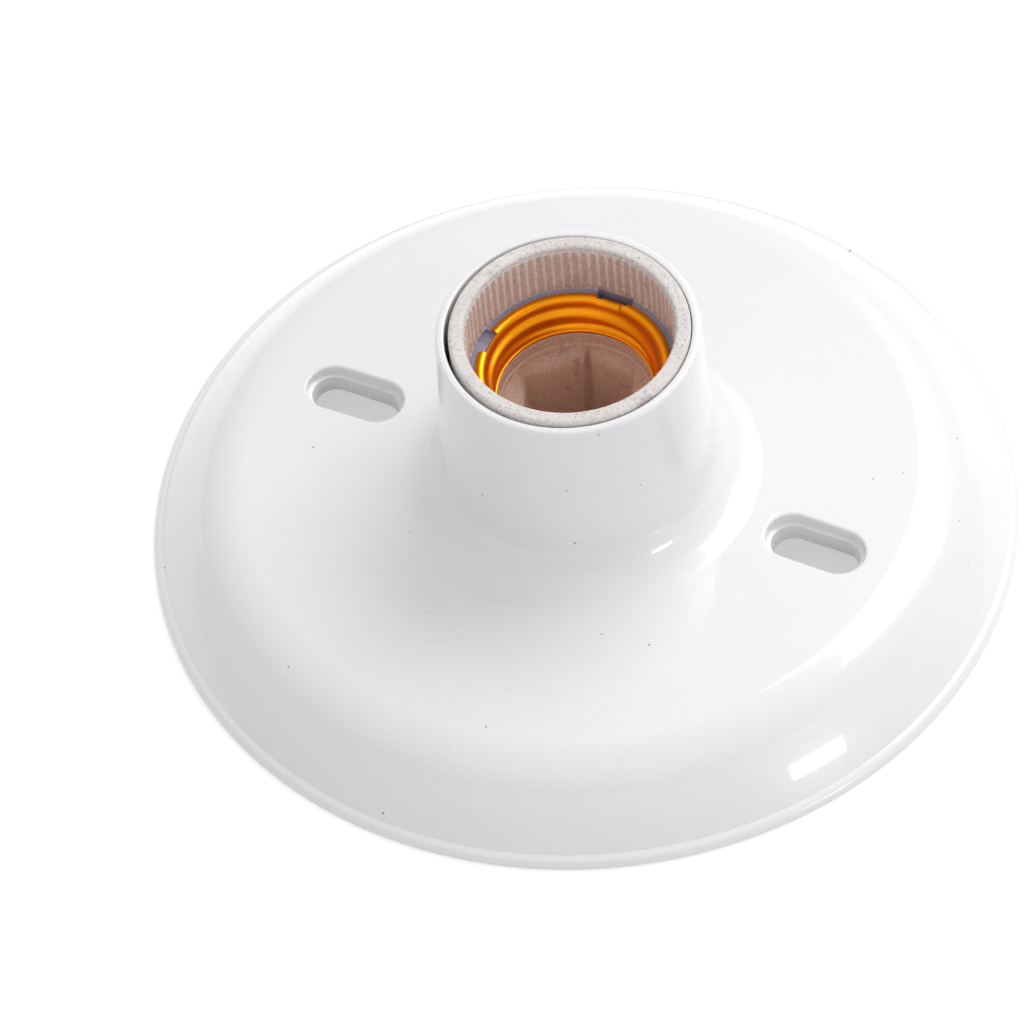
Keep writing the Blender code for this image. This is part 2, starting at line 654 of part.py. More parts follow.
def build_screw(name, size, parts, cutters, material, parent=None):
    """A slotted pan-head screw. Its origin is under the head, on the axis, and its tip points down.

    The size is the shank's radius and length and the head's radius and height.
    """
    radius, length, head_radius, head_height = size
    crown = head_height * 0.35
    chamfer = radius * 0.35
    profile = [(0.0, head_height)]
    profile += [(head_radius * 0.6, head_height - crown * 0.15), (head_radius * 0.9, head_height - crown)]
    profile += [(head_radius, head_height - 2 * crown), (head_radius, 0.0), (radius, 0.0)]
    profile += [(radius, chamfer - length), (radius - chamfer, -length), (0.0, -length)]
    screw = turned(name, profile, SCREW_STEPS, parts, parent=parent)
    half = DRIVER_SLOT_WIDTH / 2
    slot = block(
        name + "_slot",
        (-half, -head_radius - PAST, head_height * (1.0 - SLOT_SHARE)),
        (half, head_radius + PAST, head_height + PAST),
        cutters,
        parent=screw,
    )
    combine(screw, as_cutter(slot))
    return settle(screw, material)


def rounded_rectangle(width, depth, corner, segments=3):
    x = width / 2 - corner
    y = depth / 2 - corner
    points = arc(x, y, corner, 0.0, 90.0, segments) + arc(-x, y, corner, 90.0, 180.0, segments)
    return points + arc(-x, -y, corner, 180.0, 270.0, segments) + arc(x, -y, corner, 270.0, 360.0, segments)


def build_terminal(name, ends, holes, parts, cutters, insert, material):
    """A brass plate in its pocket between two ends on Y, with a hole for each (distance out, radius)."""
    low, high = ends
    middle = (low + high) / 2
    outline = rounded_rectangle(TERMINAL_WIDTH, high - low, TERMINAL_ROUND)
    plate = slab(name, outline, TERMINAL_BOTTOM, TERMINAL_TOP, parts, y=middle, parent=insert)
    for i, (reach, radius) in enumerate(holes):
        hole = cylinder(
            f"{name}_hole_{i}",
            radius + SCREW_PLAY,
            BODY_BACK,
            CHAMBER_FLOOR,
            cutters,
            y=math.copysign(reach, middle),
            parent=insert,
            segments=SCREW_STEPS,
        )
        combine(plate, as_cutter(hole))
    return settle(plate, material)


def build_wire_washer(name, top, y, parts, cutters, insert, material):
    """A square clamp washer with its corners taken off."""
    outline = rounded_rectangle(WIRE_WASHER_SIDE, WIRE_WASHER_SIDE, WIRE_WASHER_CORNER, segments=2)
    bottom = top - WIRE_WASHER_THICKNESS
    washer = slab(name, outline, bottom, top, parts, y=y, parent=insert)
    hole = cylinder(
        name + "_hole", WIRE_SCREW_RADIUS + SCREW_PLAY, bottom - PAST, top + PAST, cutters,
        y=y, parent=insert, segments=SCREW_STEPS,
    )
    combine(washer, as_cutter(hole))
    return settle(washer, material)


def build_round_washer(name, x, parts, material):
    inner = RETAINING_SCREW_RADIUS + SCREW_PLAY
    outer = RETAINING_WASHER_RADIUS
    top = RETAINING_WASHER_TOP
    bottom = top - RETAINING_WASHER_THICKNESS
    ring = [(outer, top), (outer, bottom), (inner, bottom), (inner, top)]
    washer = turned(name, ring, SCREW_STEPS + 4, parts, closed=True)
    washer.location = (x, 0.0, 0.0)
    return settle(washer, material)


def contact_path():
    """Centre line (y, z) of the bent strip, from its foot up to the pad and the turned-down lip."""
    foot = CHAMBER_FLOOR + GAP + CONTACT_THICKNESS / 2
    pad = CONTACT_TIP_HEIGHT - CONTACT_THICKNESS / 2
    fold = -CONTACT_SCREW_REACH + CONTACT_HEAD_RADIUS + GAP
    half = CONTACT_PAD_LENGTH / 2
    ease = 2 * CONTACT_THICKNESS
    return [
        (-CONTACT_FOOT_END, foot),
        (fold, foot),
        (fold + ease, foot + ease * 0.5),
        (-half - ease * 0.7, pad - ease),
        (-half, pad - ease * 0.2),
        (-half * 0.4, pad),
        (half * 0.4, pad),
        (half, pad - ease * 0.2),
        (half + CONTACT_LIP_LENGTH, pad - CONTACT_LIP_DROP),
    ]


def build_contact(parts, cutters, insert, material):
    """The bronze strip. Its origin is on the fold, where it flexes."""
    path = contact_path()
    fold_y, fold_z = path[1]
    mesh = bpy.data.meshes.new("centre_contact")
    edges = [(i, i + 1) for i in range(len(path) - 1)]
    mesh.from_pydata([(0.0, y - fold_y, z - fold_z) for y, z in path], edges, [])
    strip = add_object("centre_contact", mesh, parts, parent=insert)
    strip.location = (0.0, fold_y, fold_z)
    bm = bmesh.new()
    bm.from_mesh(mesh)
    for vert in bm.verts:
        vert.co.x = -CONTACT_WIDTH / 2
    drawn = bmesh.ops.extrude_edge_only(bm, edges=bm.edges)["geom"]
    for vert in (v for v in drawn if isinstance(v, bmesh.types.BMVert)):
        vert.co.x = CONTACT_WIDTH / 2
    bm.to_mesh(mesh)
    bm.free()
    solid = strip.modifiers.new("sheet", "SOLIDIFY")
    solid.thickness = CONTACT_THICKNESS
    solid.offset = 0.0
    solid.use_even_offset = True
    hole = cylinder(
        "contact_foot_hole",
        CONTACT_SCREW_RADIUS + SCREW_PLAY,
        CHAMBER_FLOOR - PAST,
        CHAMBER_FLOOR + 2 * PAST,
        cutters,
        y=-CONTACT_SCREW_REACH,
        parent=insert,
        segments=SCREW_STEPS,
    )
    combine(strip, as_cutter(hole))
    return settle(strip, material)


def build_wire_screw(name, y, seat, parts, cutters, insert, material):
    """A binding screw with its head down, turned up through the clamp washer into the terminal."""
    size = (WIRE_SCREW_RADIUS, WIRE_SCREW_LENGTH, WIRE_HEAD_RADIUS, WIRE_HEAD_HEIGHT)
    screw = build_screw(name, size, parts, cutters, material, parent=insert)
    screw.location = (0.0, y, seat)
    screw.rotation_euler = (math.pi, 0.0, 0.0)


def build_line_side(parts, cutters, insert, brass, steel):
    """The terminal that the centre contact is screwed to, with its wire clamp."""
    reach = LINE_SCREW_REACH
    holes = [(reach, WIRE_SCREW_RADIUS), (CONTACT_SCREW_REACH, CONTACT_SCREW_RADIUS)]
    ends = (-LINE_TERMINAL_OUTER, -LINE_TERMINAL_INNER)
    build_terminal("line_terminal", ends, holes, parts, cutters, insert, brass)
    build_wire_washer("line_wire_washer", LINE_WASHER_TOP, -reach, parts, cutters, insert, steel)
    build_wire_screw("line_wire_screw", -reach, LINE_HEAD_SEAT, parts, cutters, insert, brass)


def build_neutral_side(parts, cutters, insert, brass, steel):
    """The terminal that bears on the foot of the threaded shell, with its wire clamp."""
    reach = NEUTRAL_SCREW_REACH
    ends = (NEUTRAL_TERMINAL_INNER, NEUTRAL_TERMINAL_OUTER)
    holes = [(reach, WIRE_SCREW_RADIUS)]
    build_terminal("neutral_terminal", ends, holes, parts, cutters, insert, brass)
    build_wire_washer("neutral_wire_washer", NEUTRAL_WASHER_TOP, reach, parts, cutters, insert, steel)
    build_wire_screw("neutral_wire_screw", reach, NEUTRAL_HEAD_SEAT, parts, cutters, insert, brass)


def build_contact_screw(parts, cutters, insert, material):
    """Holds the strip's foot to the ceramic and runs down into the line terminal."""
    length = CONTACT_HEAD_SEAT - TERMINAL_BOTTOM + GAP
    size = (CONTACT_SCREW_RADIUS, length, CONTACT_HEAD_RADIUS, CONTACT_HEAD_HEIGHT)
    screw = build_screw("centre_contact_screw", size, parts, cutters, material, parent=insert)
    screw.location = (0.0, -CONTACT_SCREW_REACH, CONTACT_HEAD_SEAT)


def build_retaining_pair(side, x, parts, cutters, material):
    """The screw and washer that hold the ceramic's flange up against the tower's skirt."""
    build_round_washer(f"retaining_washer_{side}", x, parts, material)
    size = (RETAINING_SCREW_RADIUS, RETAINING_SCREW_LENGTH, RETAINING_HEAD_RADIUS, RETAINING_HEAD_HEIGHT)
    screw = build_screw(f"retaining_screw_{side}", size, parts, cutters, material)
    screw.location = (x, 0.0, RETAINING_HEAD_SEAT)
    screw.rotation_euler = (math.pi, 0.0, 0.0)


def main():
    clear_scene()
    parts = make_collection("batten_lamp_holder")
    cutters = make_collection("cutters")
    cutters.hide_render = True
    plastic = make_material("white_moulding", (0.92, 0.925, 0.93), 0.2)
    ceramic = make_material("unglazed_porcelain", (0.85, 0.8, 0.76), 0.75)
    gold = make_material("gold_shell", (0.95, 0.5, 0.03), 0.25, 1.0)
    bronze = make_material("bronze_strip", (0.85, 0.55, 0.3), 0.35, 1.0)
    brass = make_material("brass", (0.86, 0.68, 0.32), 0.35, 1.0)
    steel = make_material("plated_steel", (0.75, 0.75, 0.74), 0.35, 1.0)

    insert = add_object("insert_axis", None, parts)
    insert.location = (BODY_SHIFT_X, BODY_SHIFT_Y, 0.0)
    bpy.context.view_layer.update()

    build_plate(parts, cutters, plastic)
    build_body(parts, cutters, insert, ceramic)
    build_shell(parts, cutters, insert, gold)
    build_contact(parts, cutters, insert, bronze)

    line_holes = [(LINE_SCREW_REACH, WIRE_SCREW_RADIUS), (CONTACT_SCREW_REACH, CONTACT_SCREW_RADIUS)]
    neutral_holes = [(NEUTRAL_SCREW_REACH, WIRE_SCREW_RADIUS)]
    build_line_side(parts, cutters, insert, brass, steel)
    build_neutral_side(parts, cutters, insert, brass, steel)
    build_contact_screw(parts, cutters, insert, brass)
    for side, sign in (("left", -1.0), ("right", 1.0)):
        build_retaining_pair(side, sign * BOSS_CENTRE, parts, cutters, steel)


main()
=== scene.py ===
"""Dresses the batten lamp holder: a white ceiling plate with a porcelain socket and a gold screw shell.

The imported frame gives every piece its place. Each sub-assembly below is a class that builds finer meshes in
millimetres, in the frame's own axes, and hands them over in metres with their finishes.
"""

import logging
import math
from collections.abc import Callable, Sequence
from dataclasses import dataclass, field
from enum import Enum

import bmesh
import bpy
from mathutils import Matrix, Vector, noise


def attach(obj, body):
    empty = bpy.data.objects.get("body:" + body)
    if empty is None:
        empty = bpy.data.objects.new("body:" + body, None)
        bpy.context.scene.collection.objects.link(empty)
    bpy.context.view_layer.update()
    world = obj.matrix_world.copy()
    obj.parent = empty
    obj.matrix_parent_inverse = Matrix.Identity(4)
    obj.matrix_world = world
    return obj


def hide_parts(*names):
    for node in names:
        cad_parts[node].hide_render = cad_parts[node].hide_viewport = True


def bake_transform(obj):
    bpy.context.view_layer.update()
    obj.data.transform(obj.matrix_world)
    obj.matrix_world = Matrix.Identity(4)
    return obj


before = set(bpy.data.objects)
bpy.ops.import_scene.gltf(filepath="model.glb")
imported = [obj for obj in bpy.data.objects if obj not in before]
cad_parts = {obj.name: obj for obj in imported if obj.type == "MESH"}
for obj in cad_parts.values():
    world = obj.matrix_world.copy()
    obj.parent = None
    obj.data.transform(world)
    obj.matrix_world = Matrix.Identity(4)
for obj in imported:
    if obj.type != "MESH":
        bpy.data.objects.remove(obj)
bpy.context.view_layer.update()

MM = 0.001
PAST = 1.0  # how far a cutter runs past what it cuts
WIRE_HOLE = 2.05  # radius of the holes that the binding screws pass
CONTACT_HOLE = 1.55  # radius of those that the contact's screw passes
KEEPER_HOLE = 1.75  # radius of those that the retaining screws pass
SEAT_PLAY = 0.3  # clearance under a screw's head
LOG = logging.getLogger("lamp_holder")

Point2 = tuple[float, float]
Point3 = tuple[float, float, float]
Colour = tuple[float, float, float]


class Cut(Enum):
    """What a tool does to the piece it meets."""

    REMOVE = "DIFFERENCE"
    JOIN = "UNION"


class Metal(Enum):
    """Base colours of the metals in the holder."""

    GOLD = (1.0, 0.345, 0.009)
    BRASS = (0.80, 0.60, 0.27)
    BRONZE = (0.78, 0.50, 0.27)
    ZINC = (0.66, 0.665, 0.68)


# Mesh tools


def arc(centre: Point2, radius: float, start: float, end: float, count: int) -> list[Point2]:
    """Points on an arc in a profile.

    Args:
        centre: The arc's centre as (r, z).
        radius: Its radius.
        start: First angle in degrees from +r.
        end: Last angle in degrees.
        count: How many steps it takes.

    Returns:
        The points, both ends included.
    """
    angles = [math.radians(start + (end - start) * i / count) for i in range(count + 1)]
    return [(centre[0] + radius * math.cos(a), centre[1] + radius * math.sin(a)) for a in angles]


def between(start: Point2, end: Point2, count: int) -> list[Point2]:
    """Points on a straight line of a profile, without its ends.

    Args:
        start: Its start.
        end: Its end.
        count: How many steps it takes.

    Returns:
        The points.
    """
    across, up = end[0] - start[0], end[1] - start[1]
    return [(start[0] + across * i / count, start[1] + up * i / count) for i in range(1, count)]


def eased(share: float) -> float:
    """A share between 0 and 1 that starts and ends softly."""
    return share * share * (3 - 2 * share)


def object_from(name: str, bm: bmesh.types.BMesh) -> bpy.types.Object:
    """Turns a bmesh into an object in the scene, with its normals facing out.

    Args:
        name: The object's name.
        bm: The bmesh, which is freed.

    Returns:
        The new object.
    """
    bmesh.ops.recalc_face_normals(bm, faces=bm.faces)
    mesh = bpy.data.meshes.new(name)
    bm.to_mesh(mesh)
    bm.free()
    obj = bpy.data.objects.new(name, mesh)
    bpy.context.scene.collection.objects.link(obj)
    return obj


def revolve(name: str, profile: Sequence[Point2], steps: int, turn: float = 0.0) -> bpy.types.Object:
    """A solid of revolution about Z from a profile that closes on itself or on the axis.

    Args:
        name: The object's name.
        profile: Points (r, z) in order.
        steps: Steps in the full turn.
        turn: Angle of the first column, in radians.

    Returns:
        The solid.
    """
    bm = bmesh.new()
    cos, sin = math.cos(turn), math.sin(turn)
    verts = [bm.verts.new((r * cos, r * sin, z)) for r, z in profile]
    edges = [bm.edges.new(pair) for pair in zip(verts, verts[1:])]
    if profile[0][0] > 0.0:
        edges.append(bm.edges.new((verts[-1], verts[0])))
    bmesh.ops.spin(
        bm, geom=verts + edges, axis=(0, 0, 1), cent=(0, 0, 0), angle=math.tau, steps=steps, use_merge=True
    )
    bmesh.ops.remove_doubles(bm, verts=bm.verts, dist=1e-4)
    return object_from(name, bm)


def skin(
    bm: bmesh.types.BMesh, rows: Sequence[Sequence[bmesh.types.BMVert]], closed: bool = True
) -> None:
    """Makes faces between rows of equally many corners.

    Args:
        bm: The bmesh that holds them.
        rows: The rows in order.
        closed: Whether each row closes on itself.
    """
    for low, high in zip(rows, rows[1:]):
        for i in range(len(low) if closed else len(low) - 1):
            j = (i + 1) % len(low)
            bm.faces.new((low[i], low[j], high[j], high[i]))


def loft(name: str, rings: Sequence[Sequence[Point3]]) -> bpy.types.Object:
    """A closed solid through rings of equal counts, with a cap at each end.

    Args:
        name: The object's name.
        rings: The rings in order.

    Returns:
        The solid.
    """
    bm = bmesh.new()
    rows = [[bm.verts.new(point) for point in ring] for ring in rings]
    skin(bm, rows)
    bm.faces.new(rows[0])
    bm.faces.new(rows[-1])
    return object_from(name, bm)


def prism(name: str, outline: Sequence[Point2], bottom: float, top: float) -> bpy.types.Object:
    """An upright prism on an outline.

    Args:
        name: The object's name.
        outline: Points (x, y) in order.
        bottom: Lower height.
        top: Upper height.

    Returns:
        The solid.
    """
    return loft(name, [[(x, y, z) for x, y in outline] for z in (bottom, top)])


def disc_outline(centre: Point2, radius: float, count: int) -> list[Point2]:
    """A round outline.

    Args:
        centre: Its centre.
        radius: Its radius.
        count: How many points it has.

    Returns:
        The points.
    """
    angles = [math.tau * (i + 0.5) / count for i in range(count)]
    return [(centre[0] + radius * math.cos(a), centre[1] + radius * math.sin(a)) for a in angles]


def rounded_outline(centre: Point2, width: float, depth: float, corner: float, count: int) -> list[Point2]:
    """A rectangle with round corners.

    Args:
        centre: Its centre (x, y).
        width: Its size along X.
        depth: Its size along Y.
        corner: The corners' radius.
        count: Steps in each corner.

    Returns:
        The outline's points.
    """
    x, y = width / 2 - corner, depth / 2 - corner
    points: list[Point2] = []
    for sx, sy, start in ((x, y, 0.0), (-x, y, 90.0), (-x, -y, 180.0), (x, -y, 270.0)):
        points += arc((centre[0] + sx, centre[1] + sy), corner, start, start + 90.0, count)
    return points


def bake_modifiers(obj: bpy.types.Object) -> None:
    """Makes the evaluated shape the object's own mesh.

    Args:
        obj: The object.
    """
    graph = bpy.context.evaluated_depsgraph_get()
    mesh = bpy.data.meshes.new_from_object(obj.evaluated_get(graph))
    mesh.name = obj.name
    obj.modifiers.clear()
    obj.data = mesh


def thicken(obj: bpy.types.Object, thickness: float) -> None:
    """Gives a sheet its thickness, half to each side.

    Args:
        obj: The sheet.
        thickness: Its thickness.
    """
    solid = obj.modifiers.new("sheet", "SOLIDIFY")
    solid.thickness = thickness
    solid.offset = 0.0
    solid.use_even_offset = True
    bake_modifiers(obj)


def shape_with(target: bpy.types.Object, tools: Sequence[bpy.types.Object], how: Cut = Cut.REMOVE) -> None:
    """Cuts the tools from a piece, or joins them on, and removes them.

    Args:
        target: The piece.
        tools: Closed solids.
        how: Whether they cut or join.
    """
    for tool in tools:
        modifier = target.modifiers.new(tool.name, "BOOLEAN")
        modifier.operation = how.value
        modifier.solver = "EXACT"
        modifier.object = tool
    bake_modifiers(target)
    for tool in tools:
        bpy.data.objects.remove(tool, do_unlink=True)


def stamped(
    name: str,
    outline: Sequence[Point2],
    holes: Sequence[Sequence[Point2]],
    bottom: float,
    top: float,
    ease: float,
) -> bpy.types.Object:
    """A flat stamping with holes and eased edges, made as a bevelled flat curve.

    Args:
        name: The object's name.
        outline: Its outer outline.
        holes: Outlines of its holes.
        bottom: Lower height.
        top: Upper height.
        ease: Radius of the eased edges.

    Returns:
        The stamping as a mesh.
    """
    curve = bpy.data.curves.new(name, "CURVE")
    curve.dimensions = "2D"
    curve.fill_mode = "BOTH"
    curve.extrude = (top - bottom) / 2 - ease
    curve.bevel_depth = ease
    curve.bevel_resolution = 2
    curve.offset = -ease
    for loop in (outline, *holes):
        spline = curve.splines.new("POLY")
        spline.points.add(len(loop) - 1)
        for point, (x, y) in zip(spline.points, loop):
            point.co = (x, y, 0.0, 1.0)
        spline.use_cyclic_u = True
    guide = bpy.data.objects.new(name + "_guide", curve)
    bpy.context.scene.collection.objects.link(guide)
    graph = bpy.context.evaluated_depsgraph_get()
    mesh = bpy.data.meshes.new_from_object(guide.evaluated_get(graph))
    bpy.data.objects.remove(guide, do_unlink=True)
    bm = bmesh.new()
    bm.from_mesh(mesh)
    bmesh.ops.remove_doubles(bm, verts=bm.verts, dist=1e-4)
    bmesh.ops.translate(bm, vec=(0.0, 0.0, (bottom + top) / 2), verts=bm.verts)
    return object_from(name, bm)


@dataclass(frozen=True)
class Fitting:
    """Where a finished piece belongs: its CAD node and its body, and how sharp its edges are."""

    node: str
    body: str = "root"
    sharp: float = 32.0  # degrees

    def hand_over(self, obj: bpy.types.Object, material: bpy.types.Material) -> bpy.types.Object:
        """Brings a piece to metres, smooths it, dresses it and lets it ride on its body.

        Args:
            obj: The piece in millimetres.
            material: Its finish.

        Returns:
            The same object.
        """
        self.smooth(obj, material)
        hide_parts(self.node)
        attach(obj, self.body)
        return obj

    def smooth(self, obj: bpy.types.Object, material: bpy.types.Material) -> None:
        """Scales the mesh to metres, shades it smooth between sharp edges and gives it its material.

        Args:
            obj: The piece in millimetres.
            material: Its finish.
        """
        mesh = obj.data
        mesh.transform(Matrix.Scale(MM, 4))
        mesh.materials.clear()
        mesh.materials.append(material)
        mesh.shade_smooth()
        mesh.set_sharp_from_angle(angle=math.radians(self.sharp))
        weighted = obj.modifiers.new("even_shading", "WEIGHTED_NORMAL")
        weighted.keep_sharp = True
        LOG.info("%s: %d faces", obj.name, len(mesh.polygons))


# Shader tools


def give(socket: bpy.types.NodeSocket, value: object) -> None:
    """Links a socket's value to an input, or sets the input. A colour gets its alpha.

    Args:
        socket: The input.
        value: Another node's output, or a plain value.
    """
    if isinstance(value, bpy.types.NodeSocket):
        socket.id_data.links.new(value, socket)
    elif socket.type == "RGBA" and len(value) == 3:
        socket.default_value = (*value, 1.0)
    else:
        socket.default_value = value


@dataclass
class NodeSheet:
    """Adds and links nodes in one node tree."""

    tree: bpy.types.NodeTree

    def add(
        self, kind: str, values: dict[str | int, object] | None = None, **settings: object
    ) -> bpy.types.Node:
        """Adds a node.

        Args:
            kind: The node's type.
            values: Inputs by name or number: a socket is linked, anything else is set.
            settings: The node's own properties.

        Returns:
            The node.
        """
        node = self.tree.nodes.new(kind)
        for key, value in settings.items():
            setattr(node, key, value)
        for key, value in (values or {}).items():
            give(node.inputs[key], value)
        return node

    def math(self, operation: str, a: object, b: object = 0.0, clamp: bool = False) -> bpy.types.NodeSocket:
        """The result of a Math node on two values or sockets."""
        return self.add("ShaderNodeMath", {0: a, 1: b}, operation=operation, use_clamp=clamp).outputs[0]

    def blend(self, share: object, first: object, second: object) -> bpy.types.NodeSocket:
        """The colour of a Mix node: first where share is 0, second where it is 1."""
        inputs = {0: share, 6: first, 7: second}
        return self.add("ShaderNodeMix", inputs, data_type="RGBA").outputs[2]

    def distance(self, x: bpy.types.NodeSocket, y: bpy.types.NodeSocket) -> bpy.types.NodeSocket:
        """Distance from the Z axis of a place at x, y."""
        squares = self.math("ADD", self.math("MULTIPLY", x, x), self.math("MULTIPLY", y, y))
        return self.math("SQRT", squares)

    def ramp(self, value: bpy.types.NodeSocket, low: float, high: float) -> bpy.types.NodeSocket:
        """A value that goes smoothly from 0 at low to 1 at high."""
        inputs = {0: value, 1: low, 2: high}
        return self.add("ShaderNodeMapRange", inputs, interpolation_type="SMOOTHSTEP", clamp=True).outputs[0]


@dataclass
class EffectGroup:
    """A shader node group that finishes share. It is built once, on first use."""

    name: str
    inputs: dict[str, tuple[str, float]]
    outputs: dict[str, str]
    fill: Callable[[NodeSheet, bpy.types.Node], dict[str, bpy.types.NodeSocket]]

    def tree(self) -> bpy.types.NodeTree:
        """Finds the group's node tree, or builds it.

        Returns:
            The node tree.
        """
        found = bpy.data.node_groups.get(self.name)
        if found:
            return found
        tree = bpy.data.node_groups.new(self.name, "ShaderNodeTree")
        tree.interface.new_socket("Vector", in_out="INPUT", socket_type="NodeSocketVector")
        for name, (kind, value) in self.inputs.items():
            socket = tree.interface.new_socket(name, in_out="INPUT", socket_type=kind)
            socket.default_value = value
        for name, kind in self.outputs.items():
            tree.interface.new_socket(name, in_out="OUTPUT", socket_type=kind)
        sheet = NodeSheet(tree)
        results = self.fill(sheet, sheet.add("NodeGroupInput"))
        sheet.add("NodeGroupOutput", dict(results))
        return tree

    def place(self, sheet: NodeSheet, where: bpy.types.NodeSocket, **values: float) -> bpy.types.Node:
        """Puts the group into a material.

        Args:
            sheet: The material's sheet.
            where: The coordinates it reads.
            values: Its inputs by name, with underscores for spaces.

        Returns:
            The group node.
        """
        inputs: dict[str | int, object] = {"Vector": where}
        inputs.update({key.replace("_", " "): value for key, value in values.items()})
        return sheet.add("ShaderNodeGroup", inputs, node_tree=self.tree())


def fill_grain(sheet: NodeSheet, given: bpy.types.Node) -> dict[str, bpy.types.NodeSocket]:
    """Two layers of noise: a fine grain and a coarser unevenness.

    Args:
        sheet: The group's sheet.
        given: The group's input node.

    Returns:
        The outputs Height and Unevenness.
    """
    fine = sheet.add(
        "ShaderNodeTexNoise",
        {"Vector": given.outputs["Vector"], "Scale": given.outputs["Scale"], "Detail": 4.0, "Roughness": 0.6},
    )
    coarse_scale = sheet.math("MULTIPLY", given.outputs["Scale"], 0.13)
    coarse = sheet.add(
        "ShaderNodeTexNoise", {"Vector": given.outputs["Vector"], "Scale": coarse_scale, "Detail": 2.0}
    )
    share = given.outputs["Coarse Share"]
    kept = sheet.math("SUBTRACT", 1.0, share)
    height = sheet.math("ADD", sheet.math("MULTIPLY", fine.outputs[0], kept),
                        sheet.math("MULTIPLY", coarse.outputs[0], share))
    return {"Height": height, "Unevenness": coarse.outputs[0]}


def fill_specks(sheet: NodeSheet, given: bpy.types.Node) -> dict[str, bpy.types.NodeSocket]:
    """Sparse round specks: a share of the cells of a Voronoi pattern each holds one.

    Args:
        sheet: The group's sheet.
        given: The group's input node.

    Returns:
        The output Mask.
    """
    cells = sheet.add(
        "ShaderNodeTexVoronoi", {"Vector": given.outputs["Vector"], "Scale": given.outputs["Scale"]}
    )
    pick = sheet.add("ShaderNodeSeparateColor", {0: cells.outputs["Color"]})
    chosen = sheet.math("LESS_THAN", pick.outputs[0], given.outputs["Share"])
    size = sheet.math("MULTIPLY", given.outputs["Size"], sheet.math("ADD", pick.outputs[1], 0.35))
    ratio = sheet.math("DIVIDE", cells.outputs["Distance"], size)
    inside = sheet.math("SUBTRACT", 1.0, sheet.ramp(ratio, 0.5, 1.1))
    return {"Mask": sheet.math("MULTIPLY", inside, chosen)}


def fill_patches(sheet: NodeSheet, given: bpy.types.Node) -> dict[str, bpy.types.NodeSocket]:
    """Soft patches with broken edges.

    Args:
        sheet: The group's sheet.
        given: The group's input node.

    Returns:
        The output Mask.
    """
    broad = sheet.add(
        "ShaderNodeTexNoise",
        {"Vector": given.outputs["Vector"], "Scale": given.outputs["Scale"], "Detail": 5.0, "Roughness": 0.62,
         "Distortion": 0.35},
    )
    low = given.outputs["Threshold"]
    high = sheet.math("ADD", low, given.outputs["Softness"])
    return {"Mask": sheet.ramp(broad.outputs[0], low, high)}


def fill_turning(sheet: NodeSheet, given: bpy.types.Node) -> dict[str, bpy.types.NodeSocket]:
    """Fine rings round the Z axis, as rolling or turning leaves them.

    Args:
        sheet: The group's sheet.
        given: The group's input node.

    Returns:
        The output Height.
    """
    parts = sheet.add("ShaderNodeSeparateXYZ", {0: given.outputs["Vector"]})
    radius = sheet.distance(parts.outputs[0], parts.outputs[1])
    drift = sheet.math("MULTIPLY", sheet.math("ADD", parts.outputs[0], parts.outputs[1]), 0.02)
    across = sheet.math("ADD", radius, drift)
    place = sheet.add("ShaderNodeCombineXYZ", {0: across, 1: drift, 2: parts.outputs[2]})
    rings = sheet.add(
        "ShaderNodeTexNoise",
        {"Vector": place.outputs[0], "Scale": given.outputs["Scale"], "Detail": 3.0, "Roughness": 0.7},
    )
    return {"Height": rings.outputs[0]}


FLOAT = "NodeSocketFloat"
GRAIN = EffectGroup(
    "fine_grain", {"Scale": (FLOAT, 4000.0), "Coarse Share": (FLOAT, 0.3)},
    {"Height": FLOAT, "Unevenness": FLOAT}, fill_grain,
)
SPECKS = EffectGroup(
    "sparse_specks", {"Scale": (FLOAT, 300.0), "Share": (FLOAT, 0.05), "Size": (FLOAT, 0.05)},
    {"Mask": FLOAT}, fill_specks,
)
PATCHES = EffectGroup(
    "soft_patches", {"Scale": (FLOAT, 150.0), "Threshold": (FLOAT, 0.55), "Softness": (FLOAT, 0.12)},
    {"Mask": FLOAT}, fill_patches,
)
TURNING = EffectGroup("turning_marks", {"Scale": (FLOAT, 3000.0)}, {"Height": FLOAT}, fill_turning)


@dataclass
class Blank:
    """A new material with its sheet, its shader and the object's own coordinates."""

    name: str
    material: bpy.types.Material = field(init=False)
    sheet: NodeSheet = field(init=False)
    shader: bpy.types.Node = field(init=False)
    place: bpy.types.NodeSocket = field(init=False)

    def __post_init__(self) -> None:
        """Makes the material and finds its shader."""
        self.material = bpy.data.materials.new(self.name)
        self.material.use_nodes = True
        self.sheet = NodeSheet(self.material.node_tree)
        self.shader = self.material.node_tree.nodes["Principled BSDF"]
        self.place = self.sheet.add("ShaderNodeTexCoord").outputs["Object"]

    def feed(self, **values: object) -> None:
        """Links sockets to the shader's inputs, or sets them, by name with underscores for spaces."""
        for key, value in values.items():
            give(self.shader.inputs[key.replace("_", " ")], value)

    def relief(self, height: bpy.types.NodeSocket, depth: float, strength: float = 1.0) -> None:
        """Feeds the shader's normal from a height of this depth in metres."""
        bump = self.sheet.add("ShaderNodeBump", {"Strength": strength, "Distance": depth, "Height": height})
        self.feed(Normal=bump.outputs[0])


